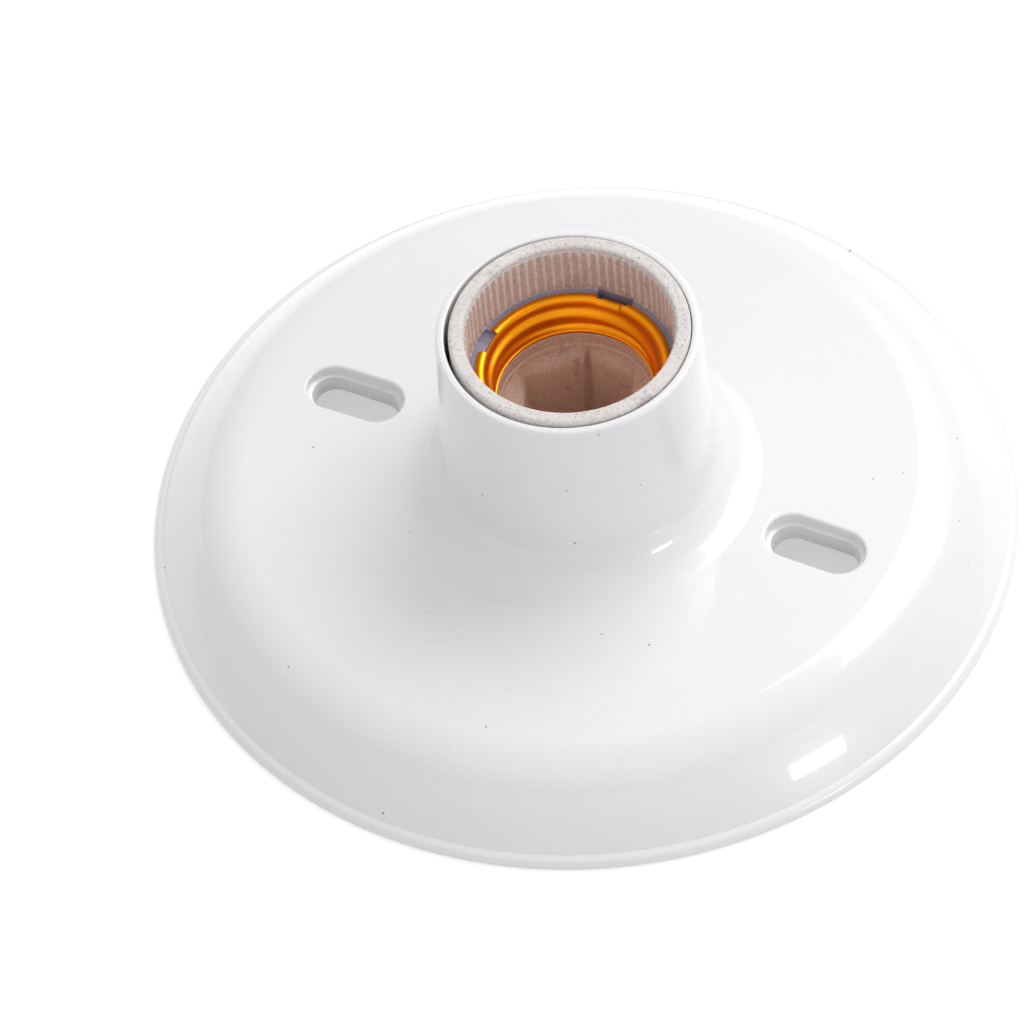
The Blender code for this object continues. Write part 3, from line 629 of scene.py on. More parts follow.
@dataclass(frozen=True)
class GlossMoulding:
    """White glossy moulding with a trace of unevenness and a few dark specks."""

    colour: Colour = (0.852, 0.85, 0.858)
    speck_colour: Colour = (0.10, 0.09, 0.09)
    dust_colour: Colour = (0.45, 0.45, 0.46)
    mottle: float = 0.985  # the darker spots' share of the colour
    roughness: float = 0.27
    unevenness: float = 0.00001  # metres
    coat: float = 0.6
    coat_roughness: float = 0.04

    def build(self) -> bpy.types.Material:
        """Makes the material.

        Returns:
            The material.
        """
        blank = Blank("gloss_moulding")
        sheet = blank.sheet
        grain = GRAIN.place(sheet, blank.place, Scale=900.0, Coarse_Share=0.8)
        specks = SPECKS.place(sheet, blank.place, Scale=260.0, Share=0.45, Size=0.055)
        dust = SPECKS.place(sheet, blank.place, Scale=600.0, Share=0.25, Size=0.07)
        darker = tuple(c * self.mottle for c in self.colour)
        shade = sheet.blend(grain.outputs["Unevenness"], self.colour, darker)
        dusty = sheet.blend(sheet.math("MULTIPLY", dust.outputs["Mask"], 0.25), shade, self.dust_colour)
        speck_share = sheet.math("MULTIPLY", specks.outputs["Mask"], 0.75)
        blank.feed(
            Base_Color=sheet.blend(speck_share, dusty, self.speck_colour),
            Roughness=sheet.math("ADD", self.roughness - 0.03,
                                 sheet.math("MULTIPLY", grain.outputs["Unevenness"], 0.06)),
            Coat_Weight=self.coat,
            Coat_Roughness=self.coat_roughness,
        )
        blank.relief(grain.outputs["Height"], self.unevenness, 0.6)
        return blank.material


@dataclass(frozen=True)
class UnglazedPorcelain:
    """Dry off-white ceramic with pink and grey-mauve stains, browner down in the socket, with painted shade
    between the ribs, on the ledge and in the grain's low spots.
    """

    colour: Colour = (0.80, 0.775, 0.745)
    # Painted shade between the ribs and painted light on their crests.
    groove_shade_colour: Colour = (0.70, 0.56, 0.50)
    rib_light_colour: Colour = (0.88, 0.79, 0.73)
    # Bluish painted shade on the ledge under the ribs.
    ledge_shade_colour: Colour = (0.36, 0.35, 0.47)
    deep_colour: Colour = (0.77, 0.58, 0.475)
    mauve: Colour = (0.33, 0.25, 0.30)
    pink: Colour = (0.72, 0.50, 0.47)
    # Painted shade in the grain's low spots.
    dimple_shade_colour: Colour = (0.12, 0.09, 0.08)
    dimple_depth: float = 0.0003  # metres

    def wall_colour(
        self, sheet: NodeSheet, place: bpy.types.NodeSocket, body: "PorcelainBody"
    ) -> bpy.types.NodeSocket:
        """The ceramic's colour by place: pale rim, painted shade between the ribs and painted light on their
        crests, bluish painted shade on the ledge, brown chamber.

        Args:
            sheet: The material's sheet.
            place: The object's coordinates.
            body: The ceramic, for its sizes.

        Returns:
            The colour.
        """
        parts = sheet.add("ShaderNodeSeparateXYZ", {0: place})
        x = sheet.math("SUBTRACT", parts.outputs[0], body.centre[0] * MM)
        y = sheet.math("SUBTRACT", parts.outputs[1], body.centre[1] * MM)
        z = parts.outputs[2]
        radius = sheet.distance(x, y)
        # Painted shade between the ribs and painted light on their crests, by distance from the axis.
        crest = sheet.ramp(radius, (body.collar - 0.02) * MM, (body.collar - 0.45 * body.rib_depth) * MM)
        ribs_light_and_shade = sheet.blend(crest, self.groove_shade_colour, self.rib_light_colour)
        above = sheet.ramp(z, (body.rib_top - 0.5) * MM, (body.rib_top + 0.05) * MM)
        wall = sheet.blend(above, ribs_light_and_shade, self.colour)
        # Bluish painted shade on the ledge.
        low = sheet.ramp(z, (body.ledge + 0.15) * MM, (body.ledge + 0.02) * MM)
        ledge_shaded = sheet.blend(low, wall, self.ledge_shade_colour)
        deep = sheet.ramp(z, (body.seat + 1.0) * MM, body.seat * MM)
        inner = sheet.blend(deep, ledge_shaded, self.deep_colour)
        back = sheet.ramp(z, (body.far_floor - 0.4) * MM, (body.far_floor - 0.9) * MM)
        inner = sheet.blend(back, inner, self.colour)
        outer = sheet.ramp(radius, (body.collar + 0.45) * MM, (body.collar + 0.6) * MM)
        return sheet.blend(outer, inner, self.colour)

    def build(self, body: "PorcelainBody") -> bpy.types.Material:
        """The material.

        Args:
            body: The ceramic, for its sizes.

        Returns:
            The material.
        """
        blank = Blank("unglazed_porcelain")
        sheet = blank.sheet
        clean = self.wall_colour(sheet, blank.place, body)
        grain = GRAIN.place(sheet, blank.place, Scale=2000.0, Coarse_Share=0.2)
        stains = PATCHES.place(sheet, blank.place, Scale=170.0, Threshold=0.6, Softness=0.08)
        blush = PATCHES.place(sheet, blank.place, Scale=110.0, Threshold=0.48, Softness=0.2)
        pits = SPECKS.place(sheet, blank.place, Scale=1700.0, Share=0.5, Size=0.34)
        tinted = sheet.blend(sheet.math("MULTIPLY", blush.outputs["Mask"], 0.2), clean, self.pink)
        stained = sheet.blend(sheet.math("MULTIPLY", stains.outputs["Mask"], 0.45), tinted, self.mauve)
        speckled = sheet.blend(sheet.math("MULTIPLY", pits.outputs["Mask"], 0.2), stained, self.mauve)
        # Painted shade: the colour darkens towards near black in the grain's low spots.
        shade = sheet.ramp(grain.outputs["Height"], 0.38, 0.62)
        dimple_shade = sheet.math("MULTIPLY", sheet.math("SUBTRACT", 1.0, shade), 0.16)
        blank.feed(
            Base_Color=sheet.blend(dimple_shade, speckled, self.dimple_shade_colour),
            Roughness=sheet.math("ADD", 0.72, sheet.math("MULTIPLY", grain.outputs["Unevenness"], 0.2)),
            Specular_IOR_Level=0.3,
        )
        pitted = sheet.math("MULTIPLY", pits.outputs["Mask"], 0.4)
        rough = sheet.math("SUBTRACT", grain.outputs["Height"], pitted)
        blank.relief(rough, self.dimple_depth, 0.8)
        return blank.material


@dataclass(frozen=True)
class WorkedMetal:
    """A bare or plated metal with turning marks, a fine grain and dull patches."""

    name: str
    metal: Metal
    roughness: float
    dull: Colour
    dullness: float = 0.25
    marks: float = 3000.0
    marking: float = 0.5
    mark_depth: float = 0.00002  # metres

    def build(self) -> bpy.types.Material:
        """Makes the material.

        Returns:
            The material.
        """
        blank = Blank(self.name)
        sheet = blank.sheet
        rings = TURNING.place(sheet, blank.place, Scale=self.marks)
        grain = GRAIN.place(sheet, blank.place, Scale=3500.0, Coarse_Share=0.5)
        tarnish = PATCHES.place(sheet, blank.place, Scale=260.0, Threshold=0.5, Softness=0.2)
        tarnished = sheet.math("MULTIPLY", tarnish.outputs["Mask"], self.dullness)
        worn = sheet.math("ADD", sheet.math("MULTIPLY", rings.outputs["Height"], 0.24 * self.marking),
                          sheet.math("MULTIPLY", tarnished, 0.5))
        blank.feed(
            Base_Color=sheet.blend(tarnished, self.metal.value, self.dull),
            Metallic=1.0,
            Roughness=sheet.math("ADD", self.roughness - 0.06, worn),
        )
        relief = sheet.math("ADD", sheet.math("MULTIPLY", rings.outputs["Height"], 0.6),
                            sheet.math("MULTIPLY", grain.outputs["Height"], 0.4))
        blank.relief(relief, self.mark_depth, self.marking)
        return blank.material


# The pieces. Their sizes are in millimetres. They follow the solids of the frame, but the ceramic's rim, its
# ledge and the shell stand where the photograph shows them, up to 0.7 mm higher.


@dataclass
class CeilingPlate:
    """The white moulding: a dish with a rolled shoulder, a flared tower and two stepped slots."""

    base_radius: float = 68.4
    lip_width: float = 1.5
    lip_height: float = 1.7
    lip_round: float = 1.4
    shoulder_width: float = 14.4
    shoulder_radius: float = 11.0
    flat_height: float = 12.65
    flat_crown: float = 0.6
    wall: float = 1.9
    rim_land: float = 0.4
    tower_height: float = 46.4
    bore: float = 19.1
    rim_wall: float = 1.4
    rim_round: float = 0.65
    mouth_round: float = 0.35
    draft: float = 2.0  # degrees
    flare: float = 7.4
    skirt_wall: float = 1.9
    skirt_end: float = 11.55
    slot_centre: float = 39.8
    slot_shift: float = 0.35
    slot_length: float = 16.2
    slot_width: float = 8.4
    step_depth: float = 1.85
    step_width: float = 0.75
    collar_depth: float = 4.65
    collar_wall: float = 1.6
    slot_round: float = 0.45
    slot_draft: float = 0.25
    step_ease: float = 0.12
    undercut: float = 0.1
    slope_crown: float = 0.22
    boss_radius: float = 3.2
    boss_centre: float = 25.9
    boss_bottom: float = 7.25
    screw_hole: float = KEEPER_HOLE
    screw_hole_top: float = 11.85
    steps: int = 288

    @property
    def flat_radius(self) -> float:
        """Radius at which the flat ends."""
        return self.base_radius - self.lip_width - self.shoulder_width

    def flare_centre(self) -> Point2:
        """Finds the centre of the flare between the drafted wall and the dish.

        Returns:
            The centre (r, z).
        """
        z = self.flat_height + self.flat_crown + self.flare
        slope = math.radians(self.draft)
        wall = self.bore + self.rim_wall + (self.tower_height - self.rim_round - z) * math.tan(slope)
        return wall + self.flare / math.cos(slope), z

    def shoulder_sweep(self) -> float:
        """Finds how far the shoulder rolls before it runs straight to the lip.

        Returns:
            The angle in degrees.
        """
        rise = self.lip_height - (self.flat_height - self.shoulder_radius)
        reach = math.hypot(self.shoulder_width, rise)
        tangent = math.atan2(rise, self.shoulder_width) + math.acos(self.shoulder_radius / reach)
        return 90.0 - math.degrees(tangent)

    def face_height(self, radius: float) -> float:
        """Height of the dish's face at this distance from the axis."""
        foot = self.flare_centre()[0]
        return self.flat_height + self.flat_crown * (self.flat_radius - radius) / (self.flat_radius - foot)

    def outside(self) -> list[Point2]:
        """Draws the outside, from the axis at the tower's top to the axis at the back.

        Returns:
            The profile (r, z).
        """
        flare_r, flare_z = self.flare_centre()
        rim, lip, roll = self.rim_round, self.lip_round, self.shoulder_radius
        outer = self.bore + self.rim_wall
        points: list[Point2] = [(0.0, self.tower_height)]
        points += arc((outer - rim, self.tower_height - rim), rim, 90.0, 0.0, 8)
        start = 180.0 + self.draft
        top = points[-1]
        low = arc((flare_r, flare_z), self.flare, start, start, 1)[0]
        points += between(top, low, 8)
        points += arc((flare_r, flare_z), self.flare, start, 270.0, 18)
        points += between(points[-1], (self.flat_radius, self.flat_height), 8)
        shoulder = (self.flat_radius, self.flat_height - roll)
        points += arc(shoulder, roll, 90.0, 90.0 - self.shoulder_sweep(), 18)
        end = points[-1]
        corner = (self.base_radius - self.lip_width, self.lip_height)
        run = Vector((corner[0] - end[0], corner[1] - end[1]))
        out = Vector((-run.y, run.x)).normalized()
        for i in range(1, 13):
            share = i / 12
            bulge = out * self.slope_crown * 4 * share * (1 - share)
            points.append((end[0] + run.x * share + bulge.x, end[1] + run.y * share + bulge.y))
        points += arc((self.base_radius - lip, self.lip_height - lip), lip, 90.0, 0.0, 8)
        points += [(self.base_radius, 0.12), (self.base_radius - 0.12, 0.0), (0.0, 0.0)]
        return points

    def inside(self) -> list[Point2]:
        """Draws the hollow: bore, the skirt's end, the underside and the rim's inner edge.

        Returns:
            The profile (r, z).
        """
        flare_r, flare_z = self.flare_centre()
        sweep, roll = self.shoulder_sweep(), self.shoulder_radius - self.wall
        skirt = self.bore + self.skirt_wall
        under = self.flare + self.wall
        start = 180.0 + math.degrees(math.acos((flare_r - skirt) / under))
        mouth, top = self.mouth_round, self.tower_height
        wide = self.bore + mouth + 0.3
        points: list[Point2] = [(0.0, top + PAST), (wide, top + PAST), (wide, top + 0.02)]
        points += [(self.bore + mouth * (1 - math.cos(t)), top - mouth * (1 - math.sin(t)))
                   for t in (math.radians(a) for a in (80, 65, 50, 35, 20, 0))]
        points += [(self.bore, self.skirt_end), (skirt, self.skirt_end)]
        points += arc((flare_r, flare_z), under, start, 270.0, 10)
        shoulder = (self.flat_radius, self.flat_height - self.shoulder_radius)
        points += arc(shoulder, roll, 90.0, 90.0 - sweep, 10)
        end_r, end_z = points[-1]
        foot = end_r + (end_z - self.rim_land) / math.tan(math.radians(sweep))
        points += [(foot, self.rim_land), (foot, -PAST), (0.0, -PAST)]
        return points

    def stadium(self, x: float, spread: float, length: float, width: float) -> list[Point2]:
        """Outline with round ends along X, grown by spread on every side."""
        half, radius = (length - width) / 2, width / 2 + spread
        return arc((x + half, 0.0), radius, -90.0, 90.0, 23) + arc((x - half, 0.0), radius, 90.0, 270.0, 23)

    def slot_tool(self, name: str, x: float) -> bpy.types.Object:
        """Makes the cutter for one slot, with its step, eased ledge and rounded mouth.

        Args:
            name: The cutter's name.
            x: Where the slot's middle is.

        Returns:
            The cutter.
        """
        face = self.face_height(self.slot_centre)
        ease, step, deep = self.step_ease, self.step_depth, -self.step_width - self.slot_draft
        rows: list[tuple[float, float, bool]] = [(deep, -PAST - face, False)]
        rows += [(deep, -self.collar_depth, False), (-self.step_width, -step - ease, False)]
        rows += [(-self.step_width + ease * 0.3, -step - ease * 0.3, False)]
        rows += [(-self.step_width + ease, -step, False), (0.0, -step, False)]
        rows += [(self.undercut, -step + 0.06, False), (self.undercut, -step + 0.2, False)]
        rows += [(0.0, -step + 0.28, False)]
        for degrees in (0, 16, 32, 48, 64, 80):
            t = math.radians(degrees)
            rows.append((self.slot_round * (1 - math.cos(t)), -self.slot_round * (1 - math.sin(t)), True))
        rows += [(self.slot_round + 0.3, 0.07, True), (self.slot_round + 0.3, 3.0, True)]
        rings = []
        for spread, rise, follows in rows:
            outline = self.stadium(x, spread, self.slot_length, self.slot_width)
            rings.append([(px, py, (self.face_height(math.hypot(px, py)) if follows else face) + rise)
                          for px, py in outline])
        return loft(name, rings)

    def build(self, material: bpy.types.Material) -> bpy.types.Object:
        """Builds and dresses the moulding.

        Args:
            material: Its finish.

        Returns:
            The piece.
        """
        plate = revolve("plate_moulding", self.outside(), self.steps)
        hollow = revolve("plate_hollow", self.inside(), self.steps // 2, turn=math.radians(0.4))
        face = self.face_height(self.slot_centre)
        above = self.tower_height / 2
        left, right = self.slot_shift - self.slot_centre, self.slot_shift + self.slot_centre
        narrow_length = self.slot_length - 2 * self.step_width
        narrow_width = self.slot_width - 2 * self.step_width
        sides = (("left", left, -self.boss_centre), ("right", right, self.boss_centre))
        keepers = []
        for side, x, boss_x in sides:
            outline = disc_outline((boss_x, 0.0), self.boss_radius, 48)
            keepers.append(prism(f"boss_{side}", outline, self.boss_bottom, above))
            outline = self.stadium(x, self.collar_wall, narrow_length, narrow_width)
            keepers.append(prism(f"collar_{side}", outline, face - self.collar_depth, above))
        shape_with(hollow, keepers)
        tools = [hollow]
        for side, x, boss_x in sides:
            tools.append(self.slot_tool(f"slot_{side}", x))
            outline = disc_outline((boss_x, 0.0), self.screw_hole, 32)
            tools.append(prism(f"hole_{side}", outline, -PAST, self.screw_hole_top))
        shape_with(plate, tools)
        return Fitting("ceiling_plate").hand_over(plate, material)


@dataclass
class PorcelainBody:
    """The ceramic: rounded rim, ribbed collar, ledge, seat ring and the faceted chamber with its pockets."""

    centre: Point2 = (0.226, 0.106)
    top: float = 46.85
    radius: float = 18.7
    rim_round: float = 0.65
    mouth_round: float = 0.6
    collar: float = 16.25
    lip_step: float = 0.1
    ledge: float = 37.1
    rib_count: int = 72
    rib_depth: float = 0.25
    rib_top: float = 45.86
    rib_share: float = 0.5
    columns_per_rib: int = 8
    seat: float = 30.95
    shell_pocket: float = 14.1
    ring: float = 12.2
    ring_bottom: float = 28.2
    chamber: float = 11.6
    chamber_taper: float = 1.2
    chamber_mouth: float = 11.95
    corners: tuple[float, float, float] = (66.0, 107.0, 161.0)
    chamber_floor: float = 14.85
    far_floor: float = 13.9
    deep_side: float = -3.0  # the chamber is deeper where Y is more than this
    groove_angle: float = 107.0
    groove_depth: float = 0.8
    flange: float = 22.0
    flange_top: float = 11.25
    chamfer: float = 0.5
    back: float = 7.25
    pocket_roof: float = 11.75
    pocket_half: float = 4.6
    line_pocket: Point2 = (-16.9, -4.4)
    neutral_pocket: Point2 = (5.0, 16.15)
    channel_half: float = 3.0
    channel: Point2 = (13.6, 16.15)
    line_screw: float = -12.7
    line_hole_end: float = 14.3
    neutral_screw: float = 9.9
    neutral_hole_end: float = 13.4
    contact_screw: float = -6.9
    recess_span: Point2 = (172.5, 181.5)
    recess_inner: float = 14.3
    recess_depth: float = 0.45

    def section(self) -> list[Point2]:
        """Draws the ceramic from the chamber's top out over the rim and down to the back.

        Returns:
            The profile (r, z).
        """
        rim, mouth = self.rim_round, self.mouth_round
        lip = self.collar + self.lip_step
        points: list[Point2] = [(0.0, self.ring_bottom), (self.ring - 0.35, self.ring_bottom)]
        points += [(self.ring - 0.28, self.ring_bottom + 0.12), (self.ring - 0.2, self.ring_bottom + 0.3)]
        points += [(self.ring, self.ring_bottom + 0.5), (self.ring, self.seat - 0.15)]
        points += [(self.ring + 0.15, self.seat), (self.shell_pocket, self.seat)]
        points += [(self.shell_pocket, self.ledge - 0.25), (self.shell_pocket + 0.1, self.ledge - 0.06)]
        points += [(self.shell_pocket + 0.25, self.ledge), (self.collar - 0.3, self.ledge)]
        points += arc((self.collar - 0.3, self.ledge + 0.3), 0.3, 270.0, 360.0, 4)
        span = self.rib_top - self.ledge
        shares = (0.12, 0.3, 0.5, 0.7, 0.86, 0.93, 0.97)
        points += [(self.collar, self.ledge + span * share) for share in shares]
        points += [(self.collar + 0.02, self.rib_top), (lip, self.rib_top + 0.1)]
        points += arc((lip + mouth, self.top - mouth), mouth, 180.0, 90.0, 9)
        points += arc((self.radius - rim, self.top - rim), rim, 90.0, 0.0, 10)
        points += [(self.radius, self.top - 6.0), (self.radius, self.flange_top + 0.4)]
        points += arc((self.radius + 0.4, self.flange_top + 0.4), 0.4, 180.0, 270.0, 3)[1:]
        inset = self.flange - self.chamfer
        points += [(inset, self.flange_top), (self.flange, self.flange_top - self.chamfer)]
        points += [(self.flange, self.back + self.chamfer), (inset, self.back)]
        points += [(0.0, self.back)]
        return points

    def rib(self, angle: float) -> float:
        """How far the collar's wall stands in at this angle: 1 on a rib's crest, 0 between ribs."""
        phase = (angle * self.rib_count / math.tau + 0.5) % 1.0 - 0.5
        return max(0.0, 1.0 - (2 * phase / self.rib_share) ** 2)

    def roughen(self, obj: bpy.types.Object) -> None:
        """Raises the ribs and gives the rim, the burr and the walls their dry unevenness.

        Args:
            obj: The revolved ceramic.
        """
        inner = self.collar + 1.0
        for vert in obj.data.vertices:
            x, y, z = vert.co
            r = math.hypot(x, y)
            if r < 1.0 or z < self.ring_bottom - 0.01:
                continue
            angle = math.atan2(y, x)
            here = Vector((x, y, z))
            push = 0.02 * noise.noise(here * 1.7) + 0.012 * noise.noise(here * 5.1)
            if self.ledge + 0.2 < z < self.rib_top - 0.05 and r < inner:
                fade = min(1.0, (self.rib_top - z) / 0.6)
                push -= self.rib_depth * self.rib(angle) * fade * (1.0 + 0.25 * noise.noise(here * 0.9))
            if z < self.ring_bottom + 0.45 and r > self.ring - 0.5:
                torn = 0.5 + noise.noise(Vector((math.cos(angle), math.sin(angle), 0.0)) * 6.0)
                push -= 0.22 * torn
                vert.co.z = z + 0.16 * noise.noise(Vector((math.cos(angle), math.sin(angle), 2.0)) * 11.0)
            if z > self.rib_top + 0.05:
                push += 0.03 * noise.noise(here * 2.6)
                vert.co.z += 0.03 * noise.noise(here * 2.2 + Vector((7.0, 0.0, 0.0)))
            if r < self.radius - 0.05:
                vert.co.x, vert.co.y = x * (r + push) / r, y * (r + push) / r

    def box(self, name: str, low: Point3, high: Point3) -> bpy.types.Object:
        """Makes a cutter between two corners, with slightly round upright edges.

        Args:
            name: Its name.
            low: Its lowest corner.
            high: Its highest corner.

        Returns:
            The cutter.
        """
        width, depth = high[0] - low[0], high[1] - low[1]
        middle = ((low[0] + high[0]) / 2, (low[1] + high[1]) / 2)
        return prism(name, rounded_outline(middle, width, depth, 0.35, 3), low[2], high[2])

    def chamber_radius(self, angle: float, depth: float) -> float:
        """Radius of the chamber's wall: round at its mouth, then faceted and drawn in, with one groove.

        Args:
            angle: Angle in degrees.
            depth: Share of the way down, 0 at the mouth and 1 at the floor.

        Returns:
            The radius.
        """
        corners = sorted((c + half) % 360.0 for half in (0.0, 180.0) for c in self.corners)
        corners = [corners[-1] - 360.0, *corners, corners[0] + 360.0]
        low, high = next(pair for pair in zip(corners, corners[1:]) if pair[0] <= angle <= pair[1])
        half = math.radians(high - low) / 2
        off = math.radians(angle) - math.radians(low) - half
        flat = self.chamber * math.cos(half) / math.cos(off)
        faceted = eased(min(1.0, depth / 0.2))
        radius = self.chamber_mouth + (flat - self.chamber_mouth) * faceted - self.chamber_taper * depth
        wide = 1.5 + 4.5 * depth
        notch = max(0.0, 1.0 - abs(angle - self.groove_angle) / wide)
        return radius + self.groove_depth * min(1.0, depth / 0.1) * notch

    def chamber_tool(self) -> bpy.types.Object:
        """Makes the cutter for the chamber, deeper away from the contact's foot.

        Returns:
            The cutter.
        """
        rings = []
        rise = self.ring_bottom - self.far_floor
        for share in (-0.07, 0.0, 0.02, 0.05, 0.09, 0.13, 0.17, 0.21, 0.3, 0.45, 0.6, 0.75, 0.9, 1.0):
            ring = []
            for i in range(240):
                degrees = 1.5 * i
                a = math.radians(degrees)
                r = self.chamber_radius(degrees, max(0.0, share))
                y = r * math.sin(a)
                z = self.ring_bottom - rise * share
                if y < self.deep_side:
                    z = max(z, self.chamber_floor)
                here = Vector((r * math.cos(a), y, z))
                r += 0.05 * noise.noise(here * 0.8) + 0.02 * noise.noise(here * 2.9)
                ring.append((r * math.cos(a), r * math.sin(a), z))
            rings.append(ring)
        return loft("chamber", rings)

    def tools(self) -> list[bpy.types.Object]:
        """Makes the cutters: chamber and groove, the ledge's recess, pockets, channel and screw holes.

        Returns:
            The cutters.
        """
        made = [self.chamber_tool(), self.recess()]
        half, roof, low = self.pocket_half, self.pocket_roof, self.back - PAST
        for name, (near, far) in (("line_pocket", self.line_pocket), ("neutral_pocket", self.neutral_pocket)):
            made.append(self.box(name, (-half, near, low), (half, far, roof)))
        made.append(self.box("channel", (-self.channel_half, self.channel[0], self.back + 0.1),
                             (self.channel_half, self.channel[1], self.ledge + PAST)))
        for name, y, radius, end in (
            ("line_hole", self.line_screw, WIRE_HOLE, self.line_hole_end),
            ("neutral_hole", self.neutral_screw, WIRE_HOLE, self.neutral_hole_end),
            ("contact_hole", self.contact_screw, CONTACT_HOLE, self.chamber_floor + PAST),
        ):
            made.append(prism(name, disc_outline((0.0, y), radius, 32), self.back + 0.2, end))
        return made

    def recess(self) -> bpy.types.Object:
        """Makes the cutter for the sunk part of the ledge at the shell's notch.

        Returns:
            The cutter.
        """
        outer = self.collar - 0.12
        start, end = (math.radians(d) for d in self.recess_span)
        angles = [start + (end - start) * i / 16 for i in range(17)]
        outline = [(outer * math.cos(a), outer * math.sin(a)) for a in angles]
        inner = self.recess_inner
        outline += [(inner * math.cos(a), inner * math.sin(a)) for a in reversed(angles)]
        return prism("ledge_recess", outline, self.ledge - self.recess_depth, self.ledge + 0.5)

    def build(self, material: bpy.types.Material) -> bpy.types.Object:
        """Builds and dresses the ceramic.

        Args:
            material: Its finish.

        Returns:
            The piece.
        """
        body = revolve("porcelain", self.section(), self.rib_count * self.columns_per_rib)
        self.roughen(body)
        shape_with(body, self.tools())
        body.data.transform(Matrix.Translation((*self.centre, 0.0)))
        return Fitting("porcelain_body", sharp=38.0).hand_over(body, material)


@dataclass
class ThreadedShell:
    """The rolled shell: a flange with a notch, the screw thread and the leg down to its terminal."""

    centre: Point2 = (0.226, 0.106)
    sheet: float = 0.3
    minor: float = 12.3
    major: float = 13.3
    pitch: float = 3.629
    crest_height: float = 34.6
    crest_angle: float = 119.0
    top: float = 37.65
    bottom: float = 31.15
    notch: Point2 = (173.0, 189.5)
    gap: Point2 = (80.5, 99.5)
    notch_reach: float = 13.95
    gap_reach: float = 14.4
    lift: float = 1.2  # only the sheet above this depth is cut there
    throat: float = 13.55  # radius at which the thread runs out into the flange
    throat_start: float = 35.1
    throat_height: float = 1.35
    roll: float = 0.95
    fullness: float = 0.12  # how much fuller the grooves are than the crests
    leg_span: Point2 = (83.0, 96.5)
    pressed: Point2 = (83.5, 103.0)
    bend: float = 6.0  # degrees
    dip: float = 0.35
    leg_radius: float = 15.35
    foot_top: float = 9.65
    foot_length: float = 9.4
    foot_width: float = 7.0
    screw_reach: float = 9.9
    columns: int = 288
    thread_rows: int = 36

    def thread(self, z: float, angle: float) -> float:
        """Rolls the thread: a right-hand helix with fuller grooves than crests.

        Args:
            z: Height.
            angle: Angle in radians.

        Returns:
            The sheet's inner radius there.
        """
        turn = (z - self.crest_height) / self.pitch - (angle - math.radians(self.crest_angle)) / math.tau
        wave = math.cos(math.tau * turn) + self.fullness * math.cos(2 * math.tau * turn)
        return (self.minor + self.major) / 2 - (self.major - self.minor) / 2 * wave / (1 + self.fullness / 2)

    def press(self, angle: float) -> float:
        """Presses the flange down beside the leg, from a gentle bend to a sheared step.

        Args:
            angle: Angle in radians.

        Returns:
            How far it is pressed down there.
        """
        degrees = math.degrees(angle)
        start, end = self.pressed
        if not start < degrees < end:
            return 0.0
        return self.dip * eased(min(1.0, (end - degrees) / self.bend))

    def rows(self) -> list[Callable[[float], Point2]]:
        """Lays out the sheet from the turned-in bottom up to the flange's edge.

        Returns:
            Its rows, each a function from an angle to (r, z).
        """
        half = self.sheet / 2
        top, bottom = self.top - half, self.bottom + half
        made: list[Callable[[float], Point2]] = [
            lambda a: (self.minor - 0.1, bottom), lambda a: (self.minor + 0.15, bottom + 0.03),
            lambda a: (self.minor + 0.3, bottom + 0.22),
        ]
        low, high = bottom + 0.5, top - 1.42
        for i in range(self.thread_rows + 1):
            z = low + (high - low) * i / self.thread_rows

            def row(angle: float, z: float = z, share: float = i / self.thread_rows) -> Point2:
                """Finds a point of one thread row, eased into the turned-in bottom and the flange's roll.

                Args:
                    angle: Angle in radians.
                    z: The row's height.
                    share: The row's place, from 0 at the bottom to 1 at the flange.

                Returns:
                    The point (r, z).
                """
                r = self.thread(z, angle) + half
                r += (self.minor + 0.45 - r) * max(0.0, 1.0 - share / 0.12) ** 2
                rise = min(1.0, max(0.0, (z - self.throat_start) / self.throat_height))
                r += (self.throat - r) * eased(rise)
                return r, z

            made.append(row)
        centre = self.throat + self.roll
        roll = [(self.throat + 0.01, 1.2), (self.throat + 0.03, 1.1)]
        for a in (math.radians(degrees) for degrees in range(0, 91, 9)):
            roll.append((centre - self.roll * math.cos(a), self.roll * (1 - math.sin(a))))
        roll += [(14.68, 0.02), (14.86, 0.08), (15.0, 0.17), (15.1, 0.29)]
        for r, drop in roll:
            made.append(lambda a, r=r, drop=drop: (r, top - drop - self.press(a) * min(1.0, 1.3 - drop)))
        return made

    def sheet_mesh(self) -> bpy.types.Object:
        """Builds the rolled sheet, with the flange cut at the notch and round the leg.

        Returns:
            The sheet without its leg.
        """
        rows = self.rows()
        bm = bmesh.new()
        grid = []
        for row in rows:
            ring = []
            for i in range(self.columns):
                angle = math.tau * i / self.columns
                r, z = row(angle)
                ring.append(bm.verts.new((r * math.cos(angle), r * math.sin(angle), z)))
            grid.append(ring)
        cuts = ((self.notch, self.notch_reach), (self.gap, self.gap_reach))
        for low, high in zip(grid, grid[1:]):
            for i in range(self.columns):
                j = (i + 1) % self.columns
                degrees = (i + 0.5) * 360.0 / self.columns
                reach = math.hypot(high[i].co.x, high[i].co.y)
                lifted = high[i].co.z > self.top - self.lift
                if lifted and any(s < degrees < e and reach > limit for (s, e), limit in cuts):
                    continue
                bm.faces.new((low[i], low[j], high[j], high[i]))
        loose = [v for v in bm.verts if not v.link_faces]
        bmesh.ops.delete(bm, geom=loose, context="VERTS")
        shell = object_from("screw_shell", bm)
        thicken(shell, self.sheet)
        return shell

